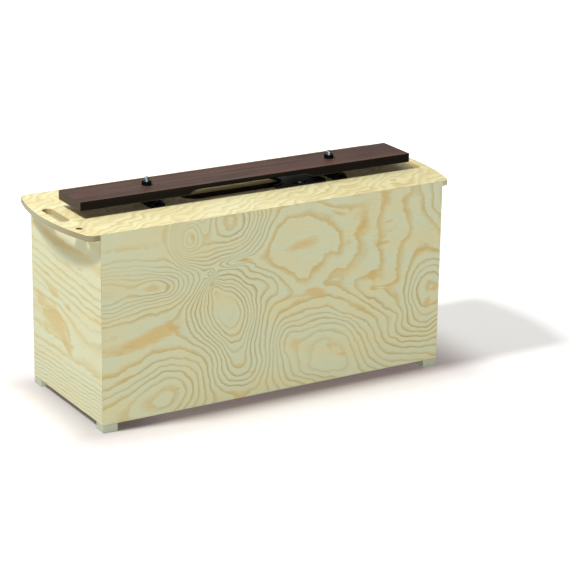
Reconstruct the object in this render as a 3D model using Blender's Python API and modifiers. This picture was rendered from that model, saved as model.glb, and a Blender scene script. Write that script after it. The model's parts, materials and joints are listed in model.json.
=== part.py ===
"""Deep-bass chime bar: a rosewood tone bar on a pine plywood resonator box.

Units are metres. The origin is on the floor under the middle of the overall length, +X runs
along the tone bar to the right, +Y to the back and +Z up. The two ears differ in length, so
each piece is made about the middle of the box and the whole is then moved along X.
"""

from math import asin, cos, pi, radians, sin, sqrt

import bmesh
import bpy
from mathutils import Matrix, Vector

# Gap left between two pieces that touch on the real object.
GAP = 0.0003

# Resonator box.
BOX_LENGTH = 0.700
BOX_WIDTH = 0.280
BOARD_TOP = 0.361
PANEL_THICKNESS = 0.010
BOTTOM_THICKNESS = 0.008

# Top board, its carrying ears and its openings.
BOARD_THICKNESS = 0.010
EAR_REACH = {"left": 0.0430, "right": 0.0365}
EAR_END_RADIUS = 0.440
EAR_CORNER_RADIUS = 0.016
MITRE_NIB = 0.0002
CUTTER_SPARE = 0.0020
SLOT_LENGTH = 0.086
SLOT_WIDTH = 0.020
SLOT_TO_EAR_END = 0.016
STICK_HOLE_RADIUS = 0.006
STICK_HOLE_TO_EAR_END = 0.0275
STICK_HOLE_TO_FRONT = 0.050
SOUND_HOLE_LENGTH = 0.248
SOUND_HOLE_WIDTH = 0.058

# Battens inside the box.
POST_SIDE = 0.020
STRIP_SIDE = 0.015

# Feet and their screws.
FOOT_LENGTH = 0.029
FOOT_WIDTH = 0.026
FOOT_HEIGHT = 0.014
FOOT_EDGE = 0.0010
FOOT_SCREW_INSET_X = 0.020
FOOT_SCREW_INSET_Y = 0.018
FOOT_SCREW_SHANK_RADIUS = 0.0020
FOOT_SCREW_HEAD_RADIUS = 0.0040
FOOT_SCREW_CROWN_RADIUS = 0.0028
FOOT_SCREW_HEAD_HEIGHT = 0.0025
FOOT_SCREW_RECESS = 0.0050
FOOT_SCREW_LENGTH = 0.032

# Tone bar and its undercut.
BAR_LENGTH = 0.681
BAR_WIDTH = 0.086
BAR_THICKNESS = 0.0172
BAR_STANDOFF = 0.0135
BAR_EDGE = 0.0016
UNDERCUT_LENGTH = 0.262
UNDERCUT_DEPTH = 0.0096
UNDERCUT_SHOULDER = 0.032

# Supports across the board under the bar's nodal lines.
PIN_SPACING = 0.379
SUPPORT_WIDTH = 0.028
SUPPORT_LENGTH = 0.086
SUPPORT_WALL = 0.0038
SUPPORT_SIDE_WALL = 0.0053

# Pins, the blocks that hold them and the grommets round them.
PIN_RADIUS = 0.0052
PIN_PROUD = 0.0085
PIN_DOME = 0.0038
PIN_DEPTH_IN_BLOCK = 0.016
BLOCK_LENGTH = 0.060
BLOCK_WIDTH = 0.050
BLOCK_THICKNESS = 0.018
COLLAR_RADIUS = 0.0088
COLLAR_HEIGHT = 0.0065
COLLAR_EDGE = 0.0012
NECK_RADIUS = 0.0072

# Tuning slide over the right part of the sound hole.
SLIDE_LENGTH = 0.106
SLIDE_WIDTH = 0.086
SLIDE_THICKNESS = 0.0030
SLIDE_TO_SUPPORT = 0.0155
SLIDE_CORNER_RADIUS = 0.005
SLIDE_TRAVEL = 0.012
NOTCH_WIDTH = 0.055
NOTCH_STRAIGHT = 0.002
LIP_INSET = 0.0006
LIP_WIDTH = 0.0030
LIP_RISE = 0.0015
SLIDE_SCREW_TO_EDGE = 0.009
SLIDE_SCREW_SHANK_RADIUS = 0.0020
SLIDE_SCREW_HEAD_RADIUS = 0.0033
SLIDE_SCREW_HEAD_HEIGHT = 0.0026
SLIDE_SCREW_HEAD_RIM = 0.0008
SLIDE_SCREW_LENGTH = 0.0120
SLIDE_SLOT_CLEARANCE = 0.0004

# Smoothness of the round shapes.
CIRCLE_STEPS = 32
SCREW_STEPS = 16
END_STEPS = 12
ARC_STEPS = 20
DOME_STEPS = 6

# Sizes that follow from the ones above.
HALF_LENGTH = BOX_LENGTH / 2
HALF_WIDTH = BOX_WIDTH / 2
BOARD_UNDERSIDE = BOARD_TOP - BOARD_THICKNESS
PANEL_BOTTOM = FOOT_HEIGHT + GAP
FLOOR_OF_CHAMBER = PANEL_BOTTOM + BOTTOM_THICKNESS
INNER_HALF_LENGTH = HALF_LENGTH - PANEL_THICKNESS
INNER_HALF_WIDTH = HALF_WIDTH - PANEL_THICKNESS
MITRE_GAP = GAP * sqrt(2)
BAR_UNDERSIDE = BOARD_TOP + BAR_STANDOFF
BAR_TOP = BAR_UNDERSIDE + BAR_THICKNESS
PIN_BORE_RADIUS = PIN_RADIUS + GAP
SLIDE_UNDERSIDE = BOARD_TOP + GAP
SLIDE_TOP = SLIDE_UNDERSIDE + SLIDE_THICKNESS
SLIDE_END = PIN_SPACING / 2 - SUPPORT_WIDTH / 2 - SLIDE_TO_SUPPORT
SLIDE_START = SLIDE_END - SLIDE_LENGTH
SLIDE_SCREW_X = SLIDE_START + SLIDE_LENGTH / 2
SLIDE_SCREW_Y = SLIDE_WIDTH / 2 - SLIDE_SCREW_TO_EDGE

EAR_END = {side: HALF_LENGTH + reach for side, reach in EAR_REACH.items()}
BOX_SHIFT = (EAR_REACH["left"] - EAR_REACH["right"]) / 2

SIDES = {"left": -1, "right": 1}
CORNERS = {
    "front_left": (-1, -1),
    "front_right": (1, -1),
    "back_left": (-1, 1),
    "back_right": (1, 1),
}

# Turns that lay a flat outline in another plane: local x, y become the plane's own axes.
IN_XY = Matrix.Identity(4)
IN_XZ = Matrix.Rotation(radians(90), 4, "X")
IN_YZ = Matrix.Rotation(radians(90), 4, "Z") @ Matrix.Rotation(radians(90), 4, "X")


def clear_scene():
    """Remove every object that the file opened with."""
    for thing in list(bpy.data.objects):
        bpy.data.objects.remove(thing, do_unlink=True)


def new_collection(name):
    """Make a collection under the scene's own."""
    collection = bpy.data.collections.new(name)
    bpy.context.scene.collection.children.link(collection)
    return collection


def finish(name, colour, roughness, metallic=0.0):
    """Make a plain Principled material."""
    material = bpy.data.materials.new(name)
    material.use_nodes = True
    shader = material.node_tree.nodes["Principled BSDF"]
    shader.inputs["Base Color"].default_value = (*colour, 1.0)
    shader.inputs["Roughness"].default_value = roughness
    shader.inputs["Metallic"].default_value = metallic
    return material


clear_scene()
PARTS = new_collection("chime_bar")
CUTTERS = new_collection("chime_bar_cutters")

PANEL_PLY = finish("panel_plywood", (0.55, 0.50, 0.33), 0.55)
BOARD_PLY = finish("board_plywood", (0.72, 0.62, 0.38), 0.50)
FOOT_WOOD = finish("foot_wood", (0.55, 0.58, 0.45), 0.60)
BATTEN_WOOD = finish("batten_wood", (0.50, 0.38, 0.22), 0.70)
ROSEWOOD = finish("rosewood", (0.10, 0.055, 0.045), 0.35)
RUBBER = finish("black_rubber", (0.012, 0.012, 0.013), 0.60)
PLASTIC = finish("black_plastic", (0.010, 0.010, 0.012), 0.30)
STEEL = finish("bright_steel", (0.62, 0.64, 0.66), 0.22, 1.0)


def place(name, mesh, material, collection=PARTS):
    """Put a mesh in the scene as a named object."""
    piece = bpy.data.objects.new(name, mesh)
    collection.objects.link(piece)
    if material is not None:
        mesh.materials.append(material)
    return piece


def block(name, size, centre, material, collection=PARTS):
    """Make a rectangular block of a size, about a centre."""
    cube = bmesh.new()
    bmesh.ops.create_cube(cube, size=1.0)
    bmesh.ops.scale(cube, vec=size, verts=cube.verts)
    mesh = bpy.data.meshes.new(name)
    cube.to_mesh(mesh)
    cube.free()
    piece = place(name, mesh, material, collection)
    piece.location = centre
    return piece


def round_edges(piece, width, segments=2):
    """Round every sharp edge of a piece."""
    bevel = piece.modifiers.new("rounded edges", "BEVEL")
    bevel.width = width
    bevel.segments = segments
    bevel.limit_method = "ANGLE"
    bevel.angle_limit = radians(40)


def arc(centre, radius, start, end, steps):
    """List the points of an arc, both ends included. Angles are in degrees."""
    points = []
    for step in range(steps + 1):
        angle = radians(start + (end - start) * step / steps)
        points.append((centre[0] + radius * cos(angle), centre[1] + radius * sin(angle)))
    return points


def circle(centre, radius, steps=CIRCLE_STEPS):
    """List the points of a circle once round."""
    return arc(centre, radius, 0, 360, steps)[:-1]


def stadium(centre, length, width, steps=END_STEPS):
    """List the points of a slot with round ends, which runs along x."""
    reach = (length - width) / 2
    right = arc((centre[0] + reach, centre[1]), width / 2, -90, 90, steps)
    left = arc((centre[0] - reach, centre[1]), width / 2, 90, 270, steps)
    return right + left


def dome_profile(radius, rise):
    """List the (radius, height) points of a dome, from its crown down to its rim."""
    points = []
    for step in range(DOME_STEPS + 1):
        angle = pi / 2 * step / DOME_STEPS
        points.append((radius * sin(angle), rise * cos(angle)))
    return points


def turned_quarter(points):
    """Turn points a quarter turn about the origin."""
    return [(-y, x) for x, y in points]


def moved(points, offset):
    """Move points by an offset."""
    return [(x + offset[0], y + offset[1]) for x, y in points]


def prism(name, loops, thickness, turn, centre, material, collection=PARTS):
    """Give a flat outline, with the loops of its holes, a thickness about its own plane."""
    curve = bpy.data.curves.new(name, "CURVE")
    curve.dimensions = "2D"
    curve.fill_mode = "BOTH"
    curve.extrude = thickness / 2
    for loop in loops:
        spline = curve.splines.new("POLY")
        spline.points.add(len(loop) - 1)
        for point, (x, y) in zip(spline.points, loop):
            point.co = (x, y, 0.0, 1.0)
        spline.use_cyclic_u = True
    outline = bpy.data.objects.new(name + "_outline", curve)
    outline.matrix_world = Matrix.Translation(centre) @ turn
    collection.objects.link(outline)
    bpy.context.view_layer.update()
    depsgraph = bpy.context.evaluated_depsgraph_get()
    mesh = bpy.data.meshes.new_from_object(outline.evaluated_get(depsgraph))
    mesh.name = name
    weld = bmesh.new()
    weld.from_mesh(mesh)
    bmesh.ops.remove_doubles(weld, verts=weld.verts, dist=0.00001)
    bmesh.ops.recalc_face_normals(weld, faces=weld.faces)
    weld.to_mesh(mesh)
    weld.free()
    piece = place(name, mesh, material, collection)
    piece.matrix_world = outline.matrix_world
    bpy.data.objects.remove(outline, do_unlink=True)
    return piece


def turned(name, profile, closed, centre, material, steps=CIRCLE_STEPS):
    """Turn a profile of (radius, height) points about a vertical axis.

    The points run down the outer side. A closed profile makes a ring with a bore.
    """
    mesh = bpy.data.meshes.new(name)
    edges = [(i, i + 1) for i in range(len(profile) - 1)]
    if closed:
        edges.append((len(profile) - 1, 0))
    mesh.from_pydata([(radius, 0.0, height) for radius, height in profile], edges, [])
    piece = place(name, mesh, material)
    piece.location = centre
    screw = piece.modifiers.new("turned", "SCREW")
    screw.angle = 2 * pi
    screw.steps = steps
    screw.render_steps = steps
    screw.use_merge_vertices = True
    screw.merge_threshold = 0.00001
    screw.use_smooth_shade = True
    return piece


def cut(piece, cutter):
    """Cut a cutter's shape out of a piece."""
    boolean = piece.modifiers.new("cut " + cutter.name, "BOOLEAN")
    boolean.operation = "DIFFERENCE"
    boolean.solver = "EXACT"
    boolean.object = cutter
    cutter.hide_render = True
    cutter.display_type = "WIRE"


def drill(piece, name, centre, radius, bottom, top):
    """Drill an upright round hole through a piece from one height to another."""
    bit = bmesh.new()
    bmesh.ops.create_cone(
        bit,
        cap_ends=True,
        segments=CIRCLE_STEPS,
        radius1=radius,
        radius2=radius,
        depth=top - bottom,
    )
    mesh = bpy.data.meshes.new(name)
    bit.to_mesh(mesh)
    bit.free()
    cutter = place(name, mesh, None, CUTTERS)
    cutter.location = (centre[0], centre[1], (top + bottom) / 2)
    cut(piece, cutter)


def ear_end_outline(ear_end):
    """List the points of a curved end with rounded corners, at the right, front to back."""
    arc_centre = ear_end - EAR_END_RADIUS
    corner_y = HALF_WIDTH - EAR_CORNER_RADIUS
    reach = EAR_END_RADIUS - EAR_CORNER_RADIUS
    corner_x = arc_centre + sqrt(reach**2 - corner_y**2)
    swing = asin(corner_y / reach) * 180 / pi
    points = arc((corner_x, -corner_y), EAR_CORNER_RADIUS, -90, -swing, END_STEPS)
    points += arc((arc_centre, 0.0), EAR_END_RADIUS, -swing, swing, ARC_STEPS)[1:]
    points += arc((corner_x, corner_y), EAR_CORNER_RADIUS, swing, 90, END_STEPS)[1:]
    return points


def board_outline():
    """List the top board's outline: straight long edges and two ears of their own length."""
    left = [(-x, -y) for x, y in ear_end_outline(EAR_END["left"])]
    return ear_end_outline(EAR_END["right"]) + left


def top_board():
    """Make the top board, with its finger slots, holes and mitred long edges."""
    slot = turned_quarter(stadium((0.0, 0.0), SLOT_LENGTH, SLOT_WIDTH))
    stick_hole = (
        STICK_HOLE_TO_EAR_END - EAR_END["left"],
        STICK_HOLE_TO_FRONT - HALF_WIDTH,
    )
    loops = [board_outline()]
    loops.append(stadium((0.0, 0.0), SOUND_HOLE_LENGTH, SOUND_HOLE_WIDTH))
    loops.append(circle(stick_hole, STICK_HOLE_RADIUS))
    for side, sign in SIDES.items():
        slot_x = EAR_END[side] - SLOT_TO_EAR_END - SLOT_WIDTH / 2
        loops.append(moved(slot, (sign * slot_x, 0.0)))
        loops.append(circle((sign * PIN_SPACING / 2, 0.0), PIN_BORE_RADIUS))
    for across in (-1, 1):
        screw = (SLIDE_SCREW_X, across * SLIDE_SCREW_Y)
        loops.append(circle(screw, SLIDE_SCREW_SHANK_RADIUS + GAP, SCREW_STEPS))
    middle = (0.0, 0.0, BOARD_TOP - BOARD_THICKNESS / 2)
    board = prism("top_board", loops, BOARD_THICKNESS, IN_XY, middle, BOARD_PLY)
    for side in (-1, 1):
        outer = side * (HALF_WIDTH + CUTTER_SPARE)
        inner = side * (HALF_WIDTH - BOARD_THICKNESS - CUTTER_SPARE)
        bottom = -MITRE_NIB - BOARD_THICKNESS - CUTTER_SPARE
        wedge = [(outer, CUTTER_SPARE - MITRE_NIB), (outer, bottom), (inner, bottom)]
        cutter = prism(
            "board_mitre_" + ("front" if side < 0 else "back"),
            [wedge],
            BOX_LENGTH + 2 * GAP,
            IN_YZ,
            (0.0, 0.0, BOARD_TOP),
            None,
            CUTTERS,
        )
        cut(board, cutter)


def wall(name, quarter_turns, distance, outer_half, outer_top, inner_top):
    """Make one wall of the box, mitred at its upright ends.

    The wall is made as the front one and then turned about the box's upright axis.
    distance is from the box's middle to its outer face. Its inner face is shorter by the
    mitre at each end, and lower at the top where the top is mitred too.
    """
    cube = bmesh.new()
    bmesh.ops.create_cube(cube, size=2.0)
    for vertex in cube.verts:
        outer = vertex.co.y < 0
        half = outer_half if outer else outer_half - PANEL_THICKNESS
        top = outer_top if outer else inner_top
        vertex.co = Vector((
            vertex.co.x * half,
            -distance if outer else PANEL_THICKNESS - distance,
            top if vertex.co.z > 0 else PANEL_BOTTOM,
        ))
    mesh = bpy.data.meshes.new(name)
    cube.to_mesh(mesh)
    cube.free()
    piece = place(name, mesh, PANEL_PLY)
    piece.rotation_euler = (0.0, 0.0, quarter_turns * pi / 2)


def box_walls():
    """Make the four walls and the bottom of the resonator box."""
    long_top = BOARD_TOP - MITRE_NIB - MITRE_GAP
    long_inner_top = long_top - PANEL_THICKNESS
    short_top = BOARD_UNDERSIDE - GAP
    short_half = HALF_WIDTH - MITRE_GAP
    wall("front_panel", 0, HALF_WIDTH, HALF_LENGTH, long_top, long_inner_top)
    wall("right_panel", 1, HALF_LENGTH, short_half, short_top, short_top)
    wall("back_panel", 2, HALF_WIDTH, HALF_LENGTH, long_top, long_inner_top)
    wall("left_panel", 3, HALF_LENGTH, short_half, short_top, short_top)
    size = (
        2 * (INNER_HALF_LENGTH - GAP),
        2 * (INNER_HALF_WIDTH - GAP),
        BOTTOM_THICKNESS,
    )
    bottom = block(
        "bottom_panel", size, (0.0, 0.0, PANEL_BOTTOM + BOTTOM_THICKNESS / 2), PANEL_PLY
    )
    for corner, spot in foot_screw_spots().items():
        drill(
            bottom,
            "bottom_bit_" + corner,
            spot,
            FOOT_SCREW_SHANK_RADIUS + GAP,
            0.0,
            FLOOR_OF_CHAMBER + FOOT_HEIGHT,
        )


def foot_screw_spots():
    """Give each corner's screw its place in plan."""
    return {
        corner: (
            along * (HALF_LENGTH - FOOT_SCREW_INSET_X),
            across * (HALF_WIDTH - FOOT_SCREW_INSET_Y),
        )
        for corner, (along, across) in CORNERS.items()
    }


def battens():
    """Make the corner posts and the glue strips inside the box."""
    bottom = FLOOR_OF_CHAMBER + GAP
    top = BOARD_UNDERSIDE - GAP
    post_x = INNER_HALF_LENGTH - GAP - POST_SIDE / 2
    post_y = INNER_HALF_WIDTH - GAP - POST_SIDE / 2
    screw_spots = foot_screw_spots()
    screw_tip = FOOT_SCREW_RECESS + FOOT_SCREW_LENGTH
    for corner, (along, across) in CORNERS.items():
        post = block(
            "corner_post_" + corner,
            (POST_SIDE, POST_SIDE, top - bottom),
            (along * post_x, across * post_y, (top + bottom) / 2),
            BATTEN_WOOD,
        )
        drill(
            post,
            "post_bit_" + corner,
            screw_spots[corner],
            FOOT_SCREW_SHANK_RADIUS + GAP,
            FOOT_HEIGHT,
            screw_tip + GAP,
        )
    strip_length = 2 * (post_x - POST_SIDE / 2 - GAP)
    strip_y = INNER_HALF_WIDTH - GAP - STRIP_SIDE / 2
    heights = {"top": top - STRIP_SIDE / 2, "bottom": bottom + STRIP_SIDE / 2}
    for level, height in heights.items():
        for face, across in (("front", -1), ("back", 1)):
            block(
                level + "_strip_" + face,
                (strip_length, STRIP_SIDE, STRIP_SIDE),
                (0.0, across * strip_y, height),
                BATTEN_WOOD,
            )


def feet():
    """Make the feet, each with a recess for the screw that holds it."""
    for corner, (along, across) in CORNERS.items():
        foot = block(
            "foot_" + corner,
            (FOOT_LENGTH, FOOT_WIDTH, FOOT_HEIGHT),
            (
                along * (HALF_LENGTH - FOOT_LENGTH / 2),
                across * (HALF_WIDTH - FOOT_WIDTH / 2),
                FOOT_HEIGHT / 2,
            ),
            FOOT_WOOD,
        )
        round_edges(foot, FOOT_EDGE)
        spot = foot_screw_spots()[corner]
        shank = FOOT_SCREW_SHANK_RADIUS + GAP
        head = FOOT_SCREW_HEAD_RADIUS + GAP
        drill(foot, "foot_bit_" + corner, spot, shank, -FOOT_HEIGHT, 2 * FOOT_HEIGHT)
        drill(foot, "foot_recess_" + corner, spot, head, -FOOT_HEIGHT, FOOT_SCREW_RECESS)
        foot_screw(corner, spot)


def foot_screw(corner, spot):
    """Make the screw that goes up through a foot into the corner post."""
    under_head = FOOT_SCREW_RECESS - GAP
    rim = under_head - FOOT_SCREW_HEAD_HEIGHT
    tip = FOOT_SCREW_RECESS + FOOT_SCREW_LENGTH
    taper = 2 * FOOT_SCREW_SHANK_RADIUS
    profile = [
        (0.0, tip),
        (FOOT_SCREW_SHANK_RADIUS, tip - taper),
        (FOOT_SCREW_SHANK_RADIUS, under_head),
        (FOOT_SCREW_HEAD_RADIUS, under_head),
        (FOOT_SCREW_HEAD_RADIUS, rim + FOOT_SCREW_HEAD_HEIGHT / 3),
        (FOOT_SCREW_CROWN_RADIUS, rim),
        (0.0, rim),
    ]
    turned("foot_screw_" + corner, profile, False, (*spot, 0.0), STEEL, SCREW_STEPS)


def undercut_profile():
    """List the side view of the tone bar, its underside at z = 0."""
    half = BAR_LENGTH / 2
    start = UNDERCUT_LENGTH / 2
    right = [(half, BAR_THICKNESS), (half, 0.0)]
    for step in range(END_STEPS + 1):
        share = step / END_STEPS
        right.append((
            start - UNDERCUT_SHOULDER * share,
            UNDERCUT_DEPTH * sin(pi / 2 * share),
        ))
    left = [(-x, z) for x, z in reversed(right)]
    return right + left


def tone_bar():
    """Make the tone bar, undercut in the middle and drilled for its grommets."""
    bar = prism(
        "tone_bar", [undercut_profile()], BAR_WIDTH, IN_XZ, (0.0, 0.0, BAR_UNDERSIDE), ROSEWOOD
    )
    round_edges(bar, BAR_EDGE, 3)
    for side, sign in SIDES.items():
        drill(
            bar,
            "bar_bit_" + side,
            (sign * PIN_SPACING / 2, 0.0),
            NECK_RADIUS + GAP,
            BOARD_TOP,
            BAR_TOP + BAR_STANDOFF,
        )


def supports():
    """Make the hollow half-round supports under the bar's nodal lines."""
    height = BAR_STANDOFF - 2 * GAP
    half = SUPPORT_WIDTH / 2
    outer = [(half * x, height * y) for x, y in arc((0, 0), 1.0, 0, 180, END_STEPS * 2)]
    bore_height = height - 2 * SUPPORT_WALL
    bore_half = half - SUPPORT_SIDE_WALL
    bore = [
        (bore_half * x, SUPPORT_WALL + bore_height * y)
        for x, y in arc((0, 0), 1.0, 0, 180, END_STEPS)
    ]
    for side, sign in SIDES.items():
        middle = (sign * PIN_SPACING / 2, 0.0, BOARD_TOP + GAP)
        support = prism(
            "support_" + side, [outer, bore], SUPPORT_LENGTH, IN_XZ, middle, RUBBER
        )
        drill(
            support,
            "support_bit_" + side,
            middle[:2],
            PIN_BORE_RADIUS,
            BOARD_TOP - BOARD_THICKNESS,
            BAR_TOP,
        )


def pins():
    """Make the pins and the blocks under the board that hold them."""
    block_top = BOARD_UNDERSIDE - GAP
    foot = block_top - PIN_DEPTH_IN_BLOCK
    crown = BAR_TOP + GAP + COLLAR_HEIGHT + PIN_PROUD
    dome = [
        (x, crown - PIN_DOME + z) for x, z in dome_profile(PIN_RADIUS, PIN_DOME)
    ]
    profile = dome + [(PIN_RADIUS, foot), (0.0, foot)]
    for side, sign in SIDES.items():
        spot = (sign * PIN_SPACING / 2, 0.0)
        turned("pin_" + side, profile, False, (*spot, 0.0), STEEL)
        holder = block(
            "pin_block_" + side,
            (BLOCK_LENGTH, BLOCK_WIDTH, BLOCK_THICKNESS),
            (*spot, block_top - BLOCK_THICKNESS / 2),
            BATTEN_WOOD,
        )
        drill(
            holder,
            "block_bit_" + side,
            spot,
            PIN_BORE_RADIUS,
            foot - GAP,
            BOARD_TOP,
        )


def grommets():
    """Make the rubber grommets: a collar on the bar's top and a neck in its hole."""
    seat = BAR_TOP + GAP
    top = seat + COLLAR_HEIGHT
    bottom = BAR_UNDERSIDE + GAP
    rounded = arc(
        (COLLAR_RADIUS - COLLAR_EDGE, top - COLLAR_EDGE), COLLAR_EDGE, 90, 0, END_STEPS // 3
    )
    profile = [(PIN_BORE_RADIUS, top)] + rounded
    profile += [(COLLAR_RADIUS, seat), (NECK_RADIUS, seat), (NECK_RADIUS, bottom)]
    profile += [(PIN_BORE_RADIUS, bottom)]
    for side, sign in SIDES.items():
        turned("grommet_" + side, profile, True, (sign * PIN_SPACING / 2, 0.0, 0.0), RUBBER)


def slide_outline():
    """List the tuning slide's outline, with the rounded notch at its left end."""
    half = SLIDE_WIDTH / 2
    left = SLIDE_START
    right = SLIDE_END
    r = SLIDE_CORNER_RADIUS
    reach = NOTCH_WIDTH / 2
    notch_centre = left + NOTCH_STRAIGHT
    points = arc((right - r, r - half), r, -90, 0, END_STEPS // 2)
    points += arc((right - r, half - r), r, 0, 90, END_STEPS // 2)
    points += arc((left + r, half - r), r, 90, 180, END_STEPS // 2)
    points += [(left, reach)]
    points += arc((notch_centre, 0.0), reach, 90, -90, END_STEPS * 2)
    points += [(left, -reach)]
    points += arc((left + r, r - half), r, 180, 270, END_STEPS // 2)
    return points


def lip_outline():
    """List the outline of the raised lip that runs round the slide's notch."""
    notch_centre = SLIDE_START + NOTCH_STRAIGHT
    start = SLIDE_START + LIP_INSET
    near = NOTCH_WIDTH / 2 + LIP_INSET
    far = near + LIP_WIDTH
    inner = arc((notch_centre, 0.0), near, 90, -90, END_STEPS * 2)
    outer = arc((notch_centre, 0.0), far, -90, 90, END_STEPS * 2)
    return [(start, near)] + inner + [(start, -near), (start, -far)] + outer + [(start, far)]


def tuning_slide():
    """Make the slide that covers part of the sound hole, and the screws that guide it."""
    slot_width = 2 * (SLIDE_SCREW_SHANK_RADIUS + SLIDE_SLOT_CLEARANCE)
    slot_length = slot_width + 2 * SLIDE_TRAVEL
    loops = [slide_outline()]
    for across in (-1, 1):
        loops.append(
            stadium((SLIDE_SCREW_X, across * SLIDE_SCREW_Y), slot_length, slot_width, 8)
        )
    middle = (0.0, 0.0, SLIDE_UNDERSIDE + SLIDE_THICKNESS / 2)
    slide = prism("tuning_slide", loops, SLIDE_THICKNESS, IN_XY, middle, PLASTIC)
    lip_height = SLIDE_THICKNESS / 2 + LIP_RISE
    lip = prism(
        "slide_lip",
        [lip_outline()],
        lip_height,
        IN_XY,
        (0.0, 0.0, SLIDE_TOP + LIP_RISE - lip_height / 2),
        None,
        CUTTERS,
    )
    join = slide.modifiers.new("raised lip", "BOOLEAN")
    join.operation = "UNION"
    join.solver = "EXACT"
    join.object = lip
    lip.hide_render = True
    lip.display_type = "WIRE"
    for face, across in (("front", -1), ("back", 1)):
        slide_screw(face, (SLIDE_SCREW_X, across * SLIDE_SCREW_Y))


def slide_screw(face, spot):
    """Make one of the round-headed screws that the slide runs under."""
    seat = SLIDE_TOP + GAP
    rise = SLIDE_SCREW_HEAD_HEIGHT - SLIDE_SCREW_HEAD_RIM
    shoulder = seat + SLIDE_SCREW_HEAD_RIM
    dome = [(x, shoulder + z) for x, z in dome_profile(SLIDE_SCREW_HEAD_RADIUS, rise)]
    tip = seat - SLIDE_SCREW_LENGTH
    taper = 2 * SLIDE_SCREW_SHANK_RADIUS
    profile = dome + [
        (SLIDE_SCREW_HEAD_RADIUS, seat),
        (SLIDE_SCREW_SHANK_RADIUS, seat),
        (SLIDE_SCREW_SHANK_RADIUS, tip + taper),
        (0.0, tip),
    ]
    turned("slide_screw_" + face, profile, False, (*spot, 0.0), STEEL, SCREW_STEPS)


top_board()
box_walls()
battens()
feet()
pins()
supports()
tone_bar()
grommets()
tuning_slide()
for thing in list(PARTS.objects) + list(CUTTERS.objects):
    thing.location.x += BOX_SHIFT
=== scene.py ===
"""Looks of a deep-bass chime bar: a rosewood tone bar on a pine plywood resonator box.

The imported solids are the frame. Each sub-assembly is a class that dresses its solids, or
replaces them by finer pieces in the same place. Units are metres, +X runs along the tone bar
to the right, +Y to the back and +Z up.
"""

from __future__ import annotations

import json
import logging
import math
from dataclasses import dataclass, replace
from enum import Enum
from typing import Any, Iterable, Union

import bmesh
import bpy
from mathutils import Matrix, Vector

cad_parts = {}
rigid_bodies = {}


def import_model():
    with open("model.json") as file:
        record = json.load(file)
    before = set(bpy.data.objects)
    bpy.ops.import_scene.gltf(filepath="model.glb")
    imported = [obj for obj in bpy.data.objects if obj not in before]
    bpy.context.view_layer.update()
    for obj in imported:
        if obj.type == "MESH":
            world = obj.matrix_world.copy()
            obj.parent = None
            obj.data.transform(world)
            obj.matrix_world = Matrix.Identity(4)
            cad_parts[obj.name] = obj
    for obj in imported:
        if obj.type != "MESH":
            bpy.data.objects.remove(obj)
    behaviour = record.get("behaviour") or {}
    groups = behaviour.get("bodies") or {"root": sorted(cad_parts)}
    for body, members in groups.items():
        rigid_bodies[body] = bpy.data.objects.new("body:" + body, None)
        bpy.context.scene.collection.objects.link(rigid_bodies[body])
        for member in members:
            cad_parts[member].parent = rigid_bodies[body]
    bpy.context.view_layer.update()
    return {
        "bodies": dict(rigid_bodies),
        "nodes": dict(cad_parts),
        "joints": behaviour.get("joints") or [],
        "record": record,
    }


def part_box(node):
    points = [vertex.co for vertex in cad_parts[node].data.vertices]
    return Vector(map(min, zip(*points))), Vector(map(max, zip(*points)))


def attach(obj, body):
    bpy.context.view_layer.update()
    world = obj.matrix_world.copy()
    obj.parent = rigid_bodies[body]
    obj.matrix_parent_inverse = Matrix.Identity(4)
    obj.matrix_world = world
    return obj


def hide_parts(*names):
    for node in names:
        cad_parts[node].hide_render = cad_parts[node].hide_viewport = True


LOG = logging.getLogger("chime_bar")

Colour = tuple[float, float, float]
Value = Union[float, tuple, bpy.types.NodeSocket]
Profile = list[tuple[float, float]]

WELD = 0.00001
LATHE_STEPS = 48


class Plane(Enum):
    """The plane that a panel's figure lies in: its axis along, then its axis across."""

    LENGTHWISE = ("X", "Z", "Y")
    CROSSWISE = ("Y", "Z", "X")
    LEVEL = ("X", "Y", "Z")


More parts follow.
